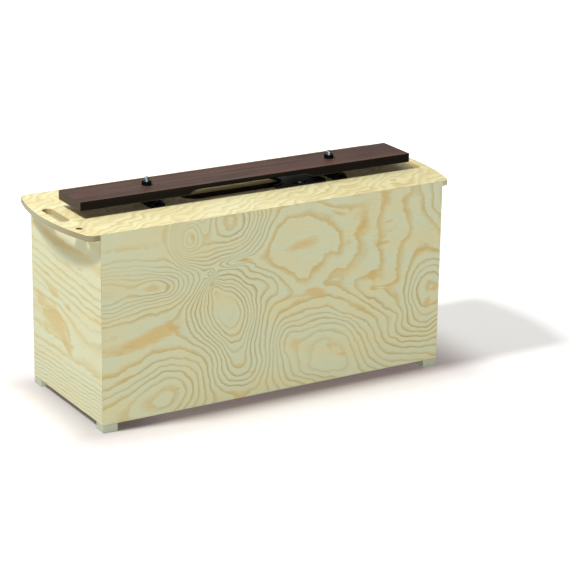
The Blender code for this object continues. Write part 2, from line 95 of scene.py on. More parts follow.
class Graph:
    """Adds nodes to a node tree and joins their sockets."""

    def __init__(self, tree: bpy.types.NodeTree) -> None:
        """Start on a tree.

        Args:
            tree: the tree that the nodes go into.
        """
        self.tree = tree

    def node(self, kind: str, **settings: Any) -> bpy.types.Node:
        """Add a node.

        Args:
            kind: the node's type name.
            settings: properties to set on it.

        Returns:
            The new node.
        """
        node = self.tree.nodes.new(kind)
        for key, value in settings.items():
            setattr(node, key, value)
        return node

    def feed(self, socket: bpy.types.NodeSocket, value: Value) -> None:
        """Link a socket to another one, or set its own value.

        Args:
            socket: the input socket.
            value: a socket, a number, a colour or a vector.
        """
        if isinstance(value, bpy.types.NodeSocket):
            self.tree.links.new(value, socket)
        elif socket.type == "RGBA" and len(value) == 3:
            socket.default_value = (*value, 1.0)
        else:
            socket.default_value = value

    def math(self, operation: str, *values: Value, clamp: bool = False) -> bpy.types.NodeSocket:
        """Add a Math node.

        Args:
            operation: its operation.
            values: its inputs, in order.
            clamp: whether its result is kept between 0 and 1.

        Returns:
            Its output socket.
        """
        node = self.node("ShaderNodeMath", operation=operation, use_clamp=clamp)
        for socket, value in zip(node.inputs, values):
            self.feed(socket, value)
        return node.outputs[0]

    def vector(self, operation: str, *values: Value) -> bpy.types.NodeSocket:
        """Add a Vector Math node whose result is a vector.

        Args:
            operation: its operation.
            values: its vector inputs, in order.

        Returns:
            Its vector output socket.
        """
        node = self.node("ShaderNodeVectorMath", operation=operation)
        for socket, value in zip(node.inputs, values):
            self.feed(socket, value)
        return node.outputs["Vector"]

    def turned(self, vector: Value, angle: Value) -> bpy.types.NodeSocket:
        """Turn a vector about Z by an angle in radians."""
        node = self.node("ShaderNodeVectorRotate", rotation_type="Z_AXIS")
        self.feed(node.inputs["Vector"], vector)
        self.feed(node.inputs["Angle"], angle)
        return node.outputs["Vector"]

    def scaled(self, vector: Value, factor: Value) -> bpy.types.NodeSocket:
        """Multiply a vector by a number."""
        node = self.node("ShaderNodeVectorMath", operation="SCALE")
        self.feed(node.inputs[0], vector)
        self.feed(node.inputs["Scale"], factor)
        return node.outputs["Vector"]

    def length(self, vector: Value) -> bpy.types.NodeSocket:
        """Give a vector's length."""
        node = self.node("ShaderNodeVectorMath", operation="LENGTH")
        self.feed(node.inputs[0], vector)
        return node.outputs["Value"]

    def parts(self, vector: Value) -> bpy.types.NodeOutputs:
        """Split a vector into its X, Y and Z."""
        node = self.node("ShaderNodeSeparateXYZ")
        self.feed(node.inputs[0], vector)
        return node.outputs

    def dot(self, first: Value, second: Value) -> bpy.types.NodeSocket:
        """Give the dot product of two vectors."""
        node = self.node("ShaderNodeVectorMath", operation="DOT_PRODUCT")
        self.feed(node.inputs[0], first)
        self.feed(node.inputs[1], second)
        return node.outputs["Value"]

    def ramp(self, value: Value, low: float, high: float) -> bpy.types.NodeSocket:
        """Give a smooth step from 0 to 1.

        Args:
            value: the number that is looked up.
            low: where the step starts.
            high: where it ends.

        Returns:
            The step's socket.
        """
        node = self.node("ShaderNodeMapRange", interpolation_type="SMOOTHSTEP")
        for name, setting in (("Value", value), ("From Min", low), ("From Max", high)):
            self.feed(node.inputs[name], setting)
        return node.outputs["Result"]

    def blend(self, share: Value, first: Value, second: Value) -> bpy.types.NodeSocket:
        """Blend two colours.

        Args:
            share: how much of the second one, from 0 to 1.
            first: the first colour.
            second: the second colour.

        Returns:
            The blended colour's socket.
        """
        node = self.node("ShaderNodeMix", data_type="RGBA")
        self.feed(node.inputs["Factor"], share)
        self.feed(node.inputs[6], first)
        self.feed(node.inputs[7], second)
        return node.outputs[2]

    def noise(self, place: Value, scale: float, detail: float = 3.0) -> bpy.types.NodeSocket:
        """Give a cloud of soft noise about 0.5.

        Args:
            place: the vector it is read at.
            scale: how many of its lumps go in a metre.
            detail: how many finer layers it has.

        Returns:
            The noise's socket.
        """
        node = self.node("ShaderNodeTexNoise")
        self.feed(node.inputs["Vector"], place)
        self.feed(node.inputs["Scale"], scale)
        self.feed(node.inputs["Detail"], detail)
        return node.outputs["Fac"]

    def warp(self, place: Value, scale: float, reach: float) -> bpy.types.NodeSocket:
        """Shift a vector about by soft noise.

        Args:
            place: the vector.
            scale: how many lumps of the noise go in a metre.
            reach: how far the vector shifts, in metres.

        Returns:
            The shifted vector's socket.
        """
        node = self.node("ShaderNodeTexNoise")
        self.feed(node.inputs["Vector"], place)
        self.feed(node.inputs["Scale"], scale)
        self.feed(node.inputs["Detail"], 2.0)
        centred = self.vector("SUBTRACT", node.outputs["Color"], (0.5, 0.5, 0.5))
        span = 2 * reach
        return self.vector("ADD", place, self.vector("MULTIPLY", centred, (span, span, span)))

    def use(self, group: bpy.types.NodeTree, **values: Value) -> bpy.types.Node:
        """Place a node group.

        Args:
            group: the group's tree.
            values: its inputs by name, with _ for a space.

        Returns:
            The group's node.
        """
        node = self.node("ShaderNodeGroup", node_tree=group)
        for name, value in values.items():
            self.feed(node.inputs[name.replace("_", " ")], value)
        return node


class GroupShelf:
    """Builds each shared shader group once and hands it out by name."""

    @staticmethod
    def start(name: str, inputs: Iterable, outputs: Iterable) -> tuple:
        """Start a group.

        Args:
            name: the group's name.
            inputs: pairs of a socket's name and its type.
            outputs: the same for what it puts out.

        Returns:
            The tree, its graph, its input node and its output node.
        """
        tree = bpy.data.node_groups.new(name, "ShaderNodeTree")
        for label, kind in inputs:
            tree.interface.new_socket(label, in_out="INPUT", socket_type="NodeSocket" + kind)
        for label, kind in outputs:
            tree.interface.new_socket(label, in_out="OUTPUT", socket_type="NodeSocket" + kind)
        graph = Graph(tree)
        return tree, graph, graph.node("NodeGroupInput"), graph.node("NodeGroupOutput")

    @classmethod
    def island(cls) -> bpy.types.NodeTree:
        """Give the group that raises or sinks a height field round one place.

        It also adds up the field's slope, in steps to the metre, which tells broad growth
        lines from crowded ones.
        """
        if "veneer island" in bpy.data.node_groups:
            return bpy.data.node_groups["veneer island"]
        tree, graph, given, out = cls.start(
            "veneer island",
            [
                ("Field", "Float"),
                ("Slope", "Vector"),
                ("Place", "Vector"),
                ("Centre", "Vector"),
                ("Reach", "Vector"),
                ("Tilt", "Float"),
                ("Height", "Float"),
                ("Flatness", "Float"),
            ],
            [("Field", "Float"), ("Slope", "Vector")],
        )
        value = given.outputs
        offset = graph.vector("SUBTRACT", value["Place"], value["Centre"])
        turned = graph.turned(offset, graph.math("MULTIPLY", value["Tilt"], -1.0))
        near = graph.vector("DIVIDE", turned, value["Reach"])
        span = graph.math("MAXIMUM", graph.dot(near, near), 0.000001)
        power = graph.math("POWER", span, value["Flatness"])
        fall = graph.math("EXPONENT", graph.math("MULTIPLY", power, -1.0))
        rise = graph.math("MULTIPLY", fall, value["Height"])
        graph.feed(out.inputs["Field"], graph.math("ADD", value["Field"], rise))
        steep = graph.math("DIVIDE", graph.math("MULTIPLY", power, value["Flatness"]), span)
        steep = graph.math("MULTIPLY", graph.math("MULTIPLY", steep, rise), -2.0)
        lean = graph.scaled(graph.vector("DIVIDE", near, value["Reach"]), steep)
        lean = graph.turned(lean, value["Tilt"])
        graph.feed(out.inputs["Slope"], graph.vector("ADD", value["Slope"], lean))
        return tree

    @classmethod
    def growth_lines(cls) -> bpy.types.NodeTree:
        """Give the group that turns a height field into growth lines.

        Its late wood darkens slowly through each step of the field and ends sharply, as a
        ring does in softwood. Each ring has a strength of its own, as seasons differ.
        """
        if "growth lines" in bpy.data.node_groups:
            return bpy.data.node_groups["growth lines"]
        tree, graph, given, out = cls.start(
            "growth lines",
            [("Field", "Float"), ("Crowding", "Float"), ("Breadth", "Float")],
            [("Late", "Float")],
        )
        ring = graph.math("FRACT", given.outputs["Field"])
        season = graph.node("ShaderNodeTexWhiteNoise", noise_dimensions="1D")
        graph.feed(season.inputs["W"], graph.math("FLOOR", given.outputs["Field"]))
        season = graph.math("MULTIPLY_ADD", season.outputs["Value"], 0.40, 0.60)
        slow = graph.node("ShaderNodeMapRange")
        graph.feed(slow.inputs["Value"], ring)
        broad = graph.math("MULTIPLY_ADD", given.outputs["Crowding"], -0.03, given.outputs["Breadth"])
        broad = graph.math("MULTIPLY", broad, graph.math("MULTIPLY_ADD", season, 0.6, 0.55))
        graph.feed(slow.inputs["From Min"], graph.math("SUBTRACT", 0.88, broad))
        graph.feed(slow.inputs["From Max"], 0.88)
        end = graph.math("DIVIDE", graph.math("SUBTRACT", 1.0, ring), 0.12, clamp=True)
        late = graph.math("MULTIPLY", slow.outputs["Result"], end)
        graph.feed(out.inputs["Late"], graph.math("MULTIPLY", late, season))
        return tree

    @classmethod
    def fibre(cls) -> bpy.types.NodeTree:
        """Give the group of fine streaks and short pores that run along the grain."""
        if "wood fibre" in bpy.data.node_groups:
            return bpy.data.node_groups["wood fibre"]
        tree, graph, given, out = cls.start(
            "wood fibre",
            [("Place", "Vector"), ("Stretch", "Vector")],
            [("Streak", "Float"), ("Pore", "Float")],
        )
        drawn = graph.vector("MULTIPLY", given.outputs["Place"], given.outputs["Stretch"])
        streak = graph.noise(drawn, 1.0, 4.0)
        graph.feed(out.inputs["Streak"], streak)
        pore = graph.ramp(graph.noise(drawn, 2.6, 1.0), 0.62, 0.74)
        graph.feed(out.inputs["Pore"], pore)
        return tree

    @classmethod
    def plies(cls) -> bpy.types.NodeTree:
        """Give the group of crossed layers that shows at a plywood edge."""
        if "edge plies" in bpy.data.node_groups:
            return bpy.data.node_groups["edge plies"]
        tree, graph, given, out = cls.start(
            "edge plies",
            [("Place", "Vector"), ("Depth", "Float"), ("Layers", "Float")],
            [("Cross", "Float"), ("Glue", "Float")],
        )
        level = graph.math("MULTIPLY", given.outputs["Depth"], given.outputs["Layers"])
        wander = graph.noise(given.outputs["Place"], 60.0, 2.0)
        level = graph.math("ADD", level, graph.math("MULTIPLY", wander, 0.16))
        odd = graph.math("GREATER_THAN", graph.math("PINGPONG", level, 1.0), 0.5)
        graph.feed(out.inputs["Cross"], odd)
        gap = graph.math("ABSOLUTE", graph.math("SUBTRACT", graph.math("FRACT", level), 0.5))
        graph.feed(out.inputs["Glue"], graph.ramp(gap, 0.10, 0.02))
        return tree

    @classmethod
    def handling(cls) -> bpy.types.NodeTree:
        """Give the group of faint smudges that dull and cloud a handled surface."""
        if "handling" in bpy.data.node_groups:
            return bpy.data.node_groups["handling"]
        tree, graph, given, out = cls.start(
            "handling",
            [("Place", "Vector"), ("Roughness", "Float"), ("Spread", "Float")],
            [("Roughness", "Float"), ("Cloud", "Float")],
        )
        cloud = graph.noise(given.outputs["Place"], 22.0, 4.0)
        speck = graph.noise(given.outputs["Place"], 900.0, 2.0)
        both = graph.math("ADD", cloud, graph.math("MULTIPLY", speck, 0.4))
        swing = graph.math("MULTIPLY", graph.math("SUBTRACT", both, 0.7), given.outputs["Spread"])
        total = graph.math("ADD", given.outputs["Roughness"], swing)
        graph.feed(out.inputs["Roughness"], graph.math("MAXIMUM", total, 0.04))
        graph.feed(out.inputs["Cloud"], cloud)
        return tree


class Paint:
    """A Principled material under construction, with its graph and Object coordinates."""

    def __init__(self, name: str) -> None:
        """Start a material.

        Args:
            name: the material's name.
        """
        self.material = bpy.data.materials.new(name)
        self.material.use_nodes = True
        self.graph = Graph(self.material.node_tree)
        self.shader = self.material.node_tree.nodes["Principled BSDF"]
        coordinates = self.graph.node("ShaderNodeTexCoord")
        self.place = coordinates.outputs["Object"]
        self.normal = coordinates.outputs["Normal"]

    def set(self, **values: Value) -> None:
        """Set or link the shader's inputs.

        Args:
            values: the inputs by name, with _ for a space.
        """
        for name, value in values.items():
            self.graph.feed(self.shader.inputs[name.replace("_", " ")], value)

    def relief(self, height: Value, depth: float, strength: float = 1.0) -> None:
        """Raise the surface a little by a height.

        Args:
            height: the height, from 0 to 1.
            depth: how far a height of 1 stands out, in metres.
            strength: how strongly it shows.
        """
        bump = self.graph.node("ShaderNodeBump")
        bump.inputs["Strength"].default_value = strength
        bump.inputs["Distance"].default_value = depth
        self.graph.feed(bump.inputs["Height"], height)
        self.set(Normal=bump.outputs["Normal"])

    def facing(self, axis: str) -> bpy.types.NodeSocket:
        """Give how squarely the surface faces along an axis, either way, from 0 to 1."""
        return self.graph.math("ABSOLUTE", self.graph.parts(self.normal)[axis])


@dataclass(frozen=True)
class Island:
    """One hill or hollow of a veneer's figure, in metres from the panel's middle."""

    along: float
    up: float
    reach_along: float
    reach_up: float
    tilt: float
    height: float
    flatness: float = 1.0


@dataclass(frozen=True)
class VeneerTints:
    """The colours of a pine veneer: its early wood, its late wood and its stains, with its plies, and
    the painted light and shade of its edges and inner faces.
    """

    pale: Colour = (0.610, 0.632, 0.425)
    blush: Colour = (0.650, 0.612, 0.365)
    wide_line: Colour = (0.570, 0.410, 0.138)
    fine_line: Colour = (0.370, 0.300, 0.125)
    stain: Colour = (0.630, 0.460, 0.190)
    ply: Colour = (0.600, 0.490, 0.270)
    cross_ply: Colour = (0.480, 0.385, 0.200)
    glue: Colour = (0.300, 0.230, 0.120)
    # Painted shade and light on the board's edges: darker where they face the front, lighter towards
    # the right.
    painted_edge_shade: Colour = (0.185, 0.170, 0.108)
    painted_edge_tone: Colour = (0.360, 0.365, 0.270)
    right_edge_light: Colour = (0.490, 0.480, 0.325)
    # Raw wood of the inner faces, darkened as painted shade inside the box.
    raw_wood_in_shade: Colour = (0.150, 0.112, 0.062)


@dataclass(frozen=True)
class Veneer:
    """Lacquered rotary-cut pine veneer over plywood, with its growth lines and stains."""

    name: str
    plane: Plane
    centre: Colour
    thickness: float
    edge_from: float
    islands: tuple[Island, ...] = ()
    stains: tuple[Island, ...] = ()
    clearings: tuple[Island, ...] = ()
    painted_edge_from: tuple[float, ...] = ()
    outward: float = 0.0
    level: float = 0.0
    slope: tuple[float, float] = (0.0, 0.0)
    drift: float = 0.4
    tear: float = 0.45
    breadth: float = 0.38
    ripple: float = 0.34
    sway: float = 0.007
    tints: VeneerTints = VeneerTints()
    line_strength: float = 0.95

    def build(self) -> bpy.types.Material:
        """Build the material."""
        paint = Paint(self.name)
        graph = paint.graph
        flat = self.flattened(graph, graph.vector("SUBTRACT", paint.place, self.centre))
        place = self.swaying(graph, flat)
        field, slope = self.figure(graph, place)
        crowd = graph.ramp(graph.length(slope), 25.0, 120.0)
        late = graph.use(
            GroupShelf.growth_lines(), Field=field, Crowding=crowd, Breadth=self.breadth
        )
        fibre = graph.use(GroupShelf.fibre(), Place=flat, Stretch=(38.0, 900.0, 1.0))
        colour = self.early_wood(graph, flat, fibre.outputs["Streak"])
        colour = graph.blend(self.stain_mask(graph, place), colour, self.tints.stain)
        line = graph.blend(crowd, self.tints.wide_line, self.tints.fine_line)
        patchy = graph.ramp(graph.noise(flat, 14.0, 3.0), 0.30, 0.62)
        patchy = graph.math("MULTIPLY_ADD", patchy, 0.32, 0.70)
        share = graph.math("MULTIPLY", late.outputs["Late"], self.line_strength)
        share = graph.math("MULTIPLY", share, patchy)
        share = graph.math("MULTIPLY", share, graph.ramp(graph.length(slope), 2.0, 14.0))
        clear, _ = self.raised(graph, place, 1.0, (0.0, 0.0, 0.0), self.clearings)
        share = graph.math("MULTIPLY", share, clear, clamp=True)
        colour = graph.blend(share, colour, line)
        pore = graph.math("MULTIPLY", fibre.outputs["Pore"], 0.16)
        colour = graph.blend(pore, colour, self.tints.fine_line)
        # Inner faces take raw wood, painted darker as the shade inside the box.
        inner = graph.parts(paint.normal)[self.plane.value[2]]
        inner = graph.ramp(graph.math("MULTIPLY", inner, -self.outward), 0.2, 0.6)
        colour = graph.blend(graph.math("MULTIPLY", inner, 0.92), colour, self.tints.raw_wood_in_shade)
        colour = self.with_edge(paint, colour)
        touch = graph.use(GroupShelf.handling(), Place=paint.place, Roughness=0.48, Spread=0.16)
        paint.set(Base_Color=colour, Roughness=touch.outputs["Roughness"])
        paint.set(Specular_IOR_Level=0.16)
        paint.relief(graph.math("MULTIPLY_ADD", fibre.outputs["Streak"], 0.35, share), 0.00006)
        return paint.material

    def flattened(self, graph: Graph, local: Value) -> bpy.types.NodeSocket:
        """Lay a place in the panel's plane: x along it, y across it.

        Args:
            graph: the material's graph.
            local: the place from the panel's centre.

        Returns:
            The flat vector's socket.
        """
        along, across, depth = self.plane.value
        parts = graph.parts(local)
        joined = graph.node("ShaderNodeCombineXYZ")
        graph.feed(joined.inputs["X"], parts[along])
        graph.feed(joined.inputs["Y"], parts[across])
        return joined.outputs["Vector"]

    def swaying(self, graph: Graph, flat: Value) -> bpy.types.NodeSocket:
        """Bend a flat place softly, in wide bends and in narrow ones.

        Args:
            graph: the material's graph.
            flat: the place in the panel's plane.

        Returns:
            The bent place's socket.
        """
        bent = graph.warp(flat, 14.0, self.sway)
        return graph.warp(bent, 45.0, self.sway * 0.38)

    def figure(self, graph: Graph, place: Value) -> tuple:
        """Build the height field whose whole numbers are the growth lines.

        Args:
            graph: the material's graph.
            place: the bent place in the panel's plane.

        Returns:
            The field's socket and its slope's socket.
        """
        parts = graph.parts(place)
        field = graph.math("MULTIPLY_ADD", parts["X"], self.slope[0], self.level)
        field = graph.math("MULTIPLY_ADD", parts["Y"], self.slope[1], field)
        swell = graph.math("SUBTRACT", graph.noise(place, 13.0, 1.0), 0.5)
        field = graph.math("MULTIPLY_ADD", swell, self.drift, field)
        ripple = graph.math("SUBTRACT", graph.noise(place, 38.0, 2.0), 0.5)
        field = graph.math("MULTIPLY_ADD", ripple, self.ripple, field)
        drawn = graph.vector("MULTIPLY", place, (26.0, 190.0, 1.0))
        torn = graph.math("SUBTRACT", graph.noise(drawn, 1.0, 3.0), 0.5)
        field = graph.math("MULTIPLY_ADD", torn, self.tear, field)
        return self.raised(graph, place, field, (*self.slope, 0.0), self.islands)

    def raised(
        self, graph: Graph, place: Value, field: Value, slope: Value, islands: tuple
    ) -> tuple:
        """Add islands to a height field.

        Args:
            graph: the material's graph.
            place: the place that the field is read at.
            field: the field so far.
            slope: the slope so far.
            islands: the islands.

        Returns:
            The field's socket and the slope's socket.
        """
        for island in islands:
            step = graph.use(
                GroupShelf.island(),
                Field=field,
                Slope=slope,
                Place=place,
                Centre=(island.along, island.up, 0.0),
                Reach=(island.reach_along, island.reach_up, 1.0),
                Tilt=math.radians(island.tilt),
                Height=island.height,
                Flatness=island.flatness,
            )
            field, slope = step.outputs["Field"], step.outputs["Slope"]
        return field, slope

    def early_wood(self, graph: Graph, flat: Value, streak: Value) -> bpy.types.NodeSocket:
        """Give the early wood's colour, which wanders from greenish to pinkish cream.

        Args:
            graph: the material's graph.
            flat: the place in the panel's plane.
            streak: the fibre streaks.

        Returns:
            The colour's socket.
        """
        drawn = graph.vector("MULTIPLY", flat, (7.0, 22.0, 1.0))
        tone = graph.ramp(graph.noise(drawn, 1.0, 4.0), 0.38, 0.66)
        colour = graph.blend(tone, self.tints.pale, self.tints.blush)
        grey = graph.math("MULTIPLY", graph.ramp(streak, 0.42, 0.72), 0.10)
        return graph.blend(grey, colour, self.tints.fine_line)

    def stain_mask(self, graph: Graph, place: Value) -> bpy.types.NodeSocket:
        """Give where resin has stained the wood, in blots torn along the fibres.

        Args:
            graph: the material's graph.
            place: the bent place in the panel's plane.

        Returns:
            The mask's socket.
        """
        drawn = graph.vector("MULTIPLY", place, (30.0, 170.0, 1.0))
        ragged = graph.math("SUBTRACT", graph.noise(drawn, 1.0, 4.0), 0.5)
        spread = graph.math("MULTIPLY", ragged, 0.9)
        mask, slope = self.raised(graph, place, spread, (0.0, 0.0, 0.0), self.stains)
        return graph.math("MULTIPLY", graph.ramp(mask, 0.36, 0.86), 0.85)

    def with_edge(self, paint: Paint, colour: Value) -> bpy.types.NodeSocket:
        """Show the plywood's layers where the surface isn't the panel's broad face, with painted
        light and shade on the board's edges.

        Args:
            paint: the material under construction.
            colour: the veneer's colour.

        Returns:
            The colour with the layers.
        """
        graph = paint.graph
        depth_axis = self.plane.value[2]
        start = graph.math("SUBTRACT", graph.parts(paint.place)[depth_axis], self.edge_from)
        depth = graph.math("DIVIDE", start, self.thickness)
        layers = graph.use(GroupShelf.plies(), Place=paint.place, Depth=depth, Layers=5.0)
        plain = graph.blend(layers.outputs["Cross"], self.tints.ply, self.tints.cross_ply)
        plain = graph.blend(layers.outputs["Glue"], plain, self.tints.glue)
        if self.painted_edge_from:
            away = graph.vector("ABSOLUTE", graph.vector("SUBTRACT", paint.place, self.centre))
            parts = graph.parts(away)
            painted_edge_shade = graph.math(
                "MAXIMUM",
                graph.ramp(parts["X"], self.painted_edge_from[0], self.painted_edge_from[0] + 0.002),
                graph.ramp(parts["Y"], self.painted_edge_from[1], self.painted_edge_from[1] + 0.002),
            )
            # Painted light: the ply colours are made brighter towards the right of the board, where
            # its edges catch more light.
            right = graph.ramp(graph.parts(paint.place)["X"], -0.26, -0.12)
            plain = graph.scaled(plain, graph.math("MULTIPLY_ADD", right, 0.38, 1.05))
            # Painted shade: edges that face the front take the darker tint; painted light: edges
            # towards the right take the lighter one.
            turned = graph.ramp(graph.parts(paint.normal)["Y"], 0.16, -0.34)
            painted_edge_tone = graph.blend(turned, self.tints.painted_edge_tone, self.tints.painted_edge_shade)
            painted_edge_tone = graph.blend(right, painted_edge_tone, self.tints.right_edge_light)
            plain = graph.blend(graph.math("MULTIPLY", painted_edge_shade, 0.75), plain, painted_edge_tone)
        side = graph.ramp(paint.facing(depth_axis), 0.60, 0.45)
        return graph.blend(side, colour, plain)


@dataclass(frozen=True)
class Rosewood:
    """Oiled rosewood: fine dark streaks along the bar, sides painted nearly black as shade, end
    grain.
    """

    name: str = "rosewood_satin"
    dark: Colour = (0.066, 0.037, 0.028)
    warm: Colour = (0.143, 0.082, 0.061)
    # Nearly black: the pores, and the painted shade on the bar's front and back faces.
    black: Colour = (0.0035, 0.003, 0.0025)
    end_grain: Colour = (0.064, 0.054, 0.040)
    rust: Colour = (0.150, 0.066, 0.048)

    def build(self) -> bpy.types.Material:
        """Build the material."""
        paint = Paint(self.name)
        graph = paint.graph
        bent = graph.warp(paint.place, 7.0, 0.006)
        band = graph.noise(graph.vector("MULTIPLY", bent, (1.8, 85.0, 60.0)), 1.0, 4.0)
        fibre = graph.use(GroupShelf.fibre(), Place=bent, Stretch=(26.0, 1300.0, 900.0))
        colour = graph.blend(graph.ramp(band, 0.34, 0.64), self.dark, self.warm)
        redder = graph.noise(graph.vector("MULTIPLY", bent, (8.0, 34.0, 1.0)), 1.0, 2.0)
        redder = graph.math("MULTIPLY", graph.ramp(redder, 0.48, 0.64), 0.55)
        colour = graph.blend(redder, colour, self.rust)
        streak = graph.ramp(fibre.outputs["Streak"], 0.42, 0.70)
        colour = graph.blend(graph.math("MULTIPLY", streak, 0.55), colour, self.dark)
        pore = graph.math("MULTIPLY", fibre.outputs["Pore"], 0.6)
        colour = graph.blend(pore, colour, self.black)
        # Painted shade: the bar's front and back faces are painted nearly black, with only a trace of
        # the wood's colour; its ends show end grain.
        top = graph.ramp(paint.facing("Z"), 0.30, 0.85)
        lit = graph.math("MULTIPLY_ADD", graph.ramp(band, 0.40, 0.75), 0.035, 0.01)
        side = graph.blend(lit, self.black, colour)
        speckle = graph.ramp(graph.noise(paint.place, 1500.0, 2.0), 0.40, 0.62)
        end = graph.blend(graph.math("MULTIPLY", speckle, 0.45), self.end_grain, self.dark)
        side = graph.blend(graph.ramp(paint.facing("X"), 0.4, 0.7), side, end)
        colour = graph.blend(top, side, colour)
        touch = graph.use(GroupShelf.handling(), Place=paint.place, Roughness=0.44, Spread=0.20)
        paint.set(Base_Color=colour, Roughness=touch.outputs["Roughness"])
        paint.set(Specular_IOR_Level=0.10)
        paint.relief(fibre.outputs["Streak"], 0.00005, 0.6)
        return paint.material


@dataclass(frozen=True)
class SolidWood:
    """Sawn solid wood with straight grain, such as the feet and the battens."""

    name: str
    pale: Colour
    late: Colour
    grain: Colour
    roughness: float = 0.55

    def build(self) -> bpy.types.Material:
        """Build the material."""
        paint = Paint(self.name)
        graph = paint.graph
        bent = graph.warp(paint.place, 12.0, 0.004)
        ring = graph.noise(graph.vector("MULTIPLY", bent, self.grain), 1.0, 2.0)
        late = graph.use(
            GroupShelf.growth_lines(),
            Field=graph.math("MULTIPLY", ring, 7.0),
            Crowding=1.0,
            Breadth=0.3,
        )
        stretch = tuple(6.0 * part for part in self.grain)
        fibre = graph.use(GroupShelf.fibre(), Place=bent, Stretch=stretch)
        share = graph.math("MULTIPLY", late.outputs["Late"], 0.55)
        colour = graph.blend(share, self.pale, self.late)
        streak = graph.math("MULTIPLY", fibre.outputs["Streak"], 0.22)
        colour = graph.blend(streak, colour, self.late)
        touch = graph.use(
            GroupShelf.handling(), Place=paint.place, Roughness=self.roughness, Spread=0.14
        )
        paint.set(Base_Color=colour, Roughness=touch.outputs["Roughness"])
        paint.relief(fibre.outputs["Streak"], 0.00006, 0.7)
        return paint.material


@dataclass(frozen=True)
class Moulded:
    """Moulded black rubber or plastic with a fine grain and clouds of dust; its upright faces can be
    painted darker as shade.
    """

    name: str
    colour: Colour
    # Lighter dust; on the slide it is also part of a painted sheen.
    dust_and_sheen: Colour
    roughness: float
    grain_depth: float
    sheen: float = 0.02
    # Share of the colour kept on upright faces; below 1 it paints shade on them.
    edge: float = 1.0

    def build(self) -> bpy.types.Material:
        """Build the material."""
        paint = Paint(self.name)
        graph = paint.graph
        touch = graph.use(
            GroupShelf.handling(), Place=paint.place, Roughness=self.roughness, Spread=0.18
        )
        # Clouds of lighter dust; on the slide the same tone also paints part of its sheen.
        dust = graph.ramp(touch.outputs["Cloud"], 0.50, 0.85)
        colour = graph.blend(graph.math("MULTIPLY", dust, 0.5), self.colour, self.dust_and_sheen)
        # Painted shade: faces that don't face up or down are darkened by the edge factor.
        level = graph.ramp(paint.facing(2), 0.2, 0.8)
        colour = graph.scaled(
            colour, graph.math("MULTIPLY_ADD", level, 1.0 - self.edge, self.edge)
        )
        paint.set(Base_Color=colour, Roughness=touch.outputs["Roughness"])
        paint.set(Specular_IOR_Level=self.sheen)
        paint.relief(graph.noise(paint.place, 2200.0, 2.0), self.grain_depth, 0.5)
        return paint.material


@dataclass(frozen=True)
class Plated:
    """Bright plated steel with turning marks and faint scratches."""

    name: str = "plated_steel"
    colour: Colour = (0.25, 0.30, 0.32)
    shadow: Colour = (0.17, 0.20, 0.215)
    roughness: float = 0.50

    def build(self) -> bpy.types.Material:
        """Build the material."""
        paint = Paint(self.name)
        graph = paint.graph
        turned = graph.vector("MULTIPLY", paint.place, (120.0, 120.0, 4200.0))
        mark = graph.noise(turned, 1.0, 3.0)
        touch = graph.use(
            GroupShelf.handling(), Place=paint.place, Roughness=self.roughness, Spread=0.18
        )
        cloud = graph.ramp(touch.outputs["Cloud"], 0.45, 0.80)
        colour = graph.blend(graph.math("MULTIPLY", cloud, 0.35), self.colour, self.shadow)
        paint.set(Base_Color=colour, Roughness=touch.outputs["Roughness"], Metallic=1.0)
        paint.relief(mark, 0.00002, 0.4)
        return paint.material


def dress(node: bpy.types.Object, material: bpy.types.Material) -> None:
    """Give a CAD node a better material in its own slot.

    Args:
        node: the node's object.
        material: the material.
    """
    for slot in node.material_slots:
        slot.material = material


def ridden(piece: bpy.types.Object, body: str, slot: str, *nodes: str) -> bpy.types.Object:
    """Let a piece stand for CAD nodes and move with their body.

    Args:
        piece: the finished piece.
        body: the body that it rides on.
        slot: not used.
        nodes: the CAD nodes that it replaces.

    Returns:
        The piece.
    """
    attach(piece, body)
    if nodes:
        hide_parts(*nodes)
    LOG.info("%s rides on %s with %d faces", piece.name, body, len(piece.data.polygons))
    return piece


def softened(
    node: bpy.types.Object, name: str, rounding: float, material: bpy.types.Material
) -> bpy.types.Object:
    """Copy a CAD node as a welded mesh whose sharp edges are rounded.

    Args:
        node: the node's object.
        name: the new piece's name.
        rounding: the radius of its edges.
        material: its material.

    Returns:
        The new piece, at the origin.
    """
    mesh = node.data.copy()
    mesh.name = name
    welded = bmesh.new()
    welded.from_mesh(mesh)
    bmesh.ops.remove_doubles(welded, verts=welded.verts, dist=WELD)
    bmesh.ops.dissolve_limit(
        welded, angle_limit=math.radians(0.5), verts=welded.verts, edges=welded.edges
    )
    welded.to_mesh(mesh)
    welded.free()
    mesh.materials.clear()
    mesh.materials.append(material)
    piece = bpy.data.objects.new(name, mesh)
    bpy.context.scene.collection.objects.link(piece)
    bevel = piece.modifiers.new("rounded arris", "BEVEL")
    bevel.width = rounding
    bevel.segments = 3
    bevel.limit_method = "ANGLE"
    bevel.angle_limit = math.radians(34)
    mesh.shade_smooth()
    flat = piece.modifiers.new("flat faces", "WEIGHTED_NORMAL")
    flat.mode = "FACE_AREA"
    flat.weight = 100
    flat.keep_sharp = True
    return made_plain(piece)


def made_plain(piece: bpy.types.Object) -> bpy.types.Object:
    """Turn a piece's modifiers into its own mesh.

    Args:
        piece: the piece.

    Returns:
        The same piece, with no modifiers left.
    """
    bpy.context.view_layer.update()
    evaluated = piece.evaluated_get(bpy.context.evaluated_depsgraph_get())
    mesh = bpy.data.meshes.new_from_object(evaluated)
    mesh.name = piece.name
    piece.modifiers.clear()
    piece.data = mesh
    return piece


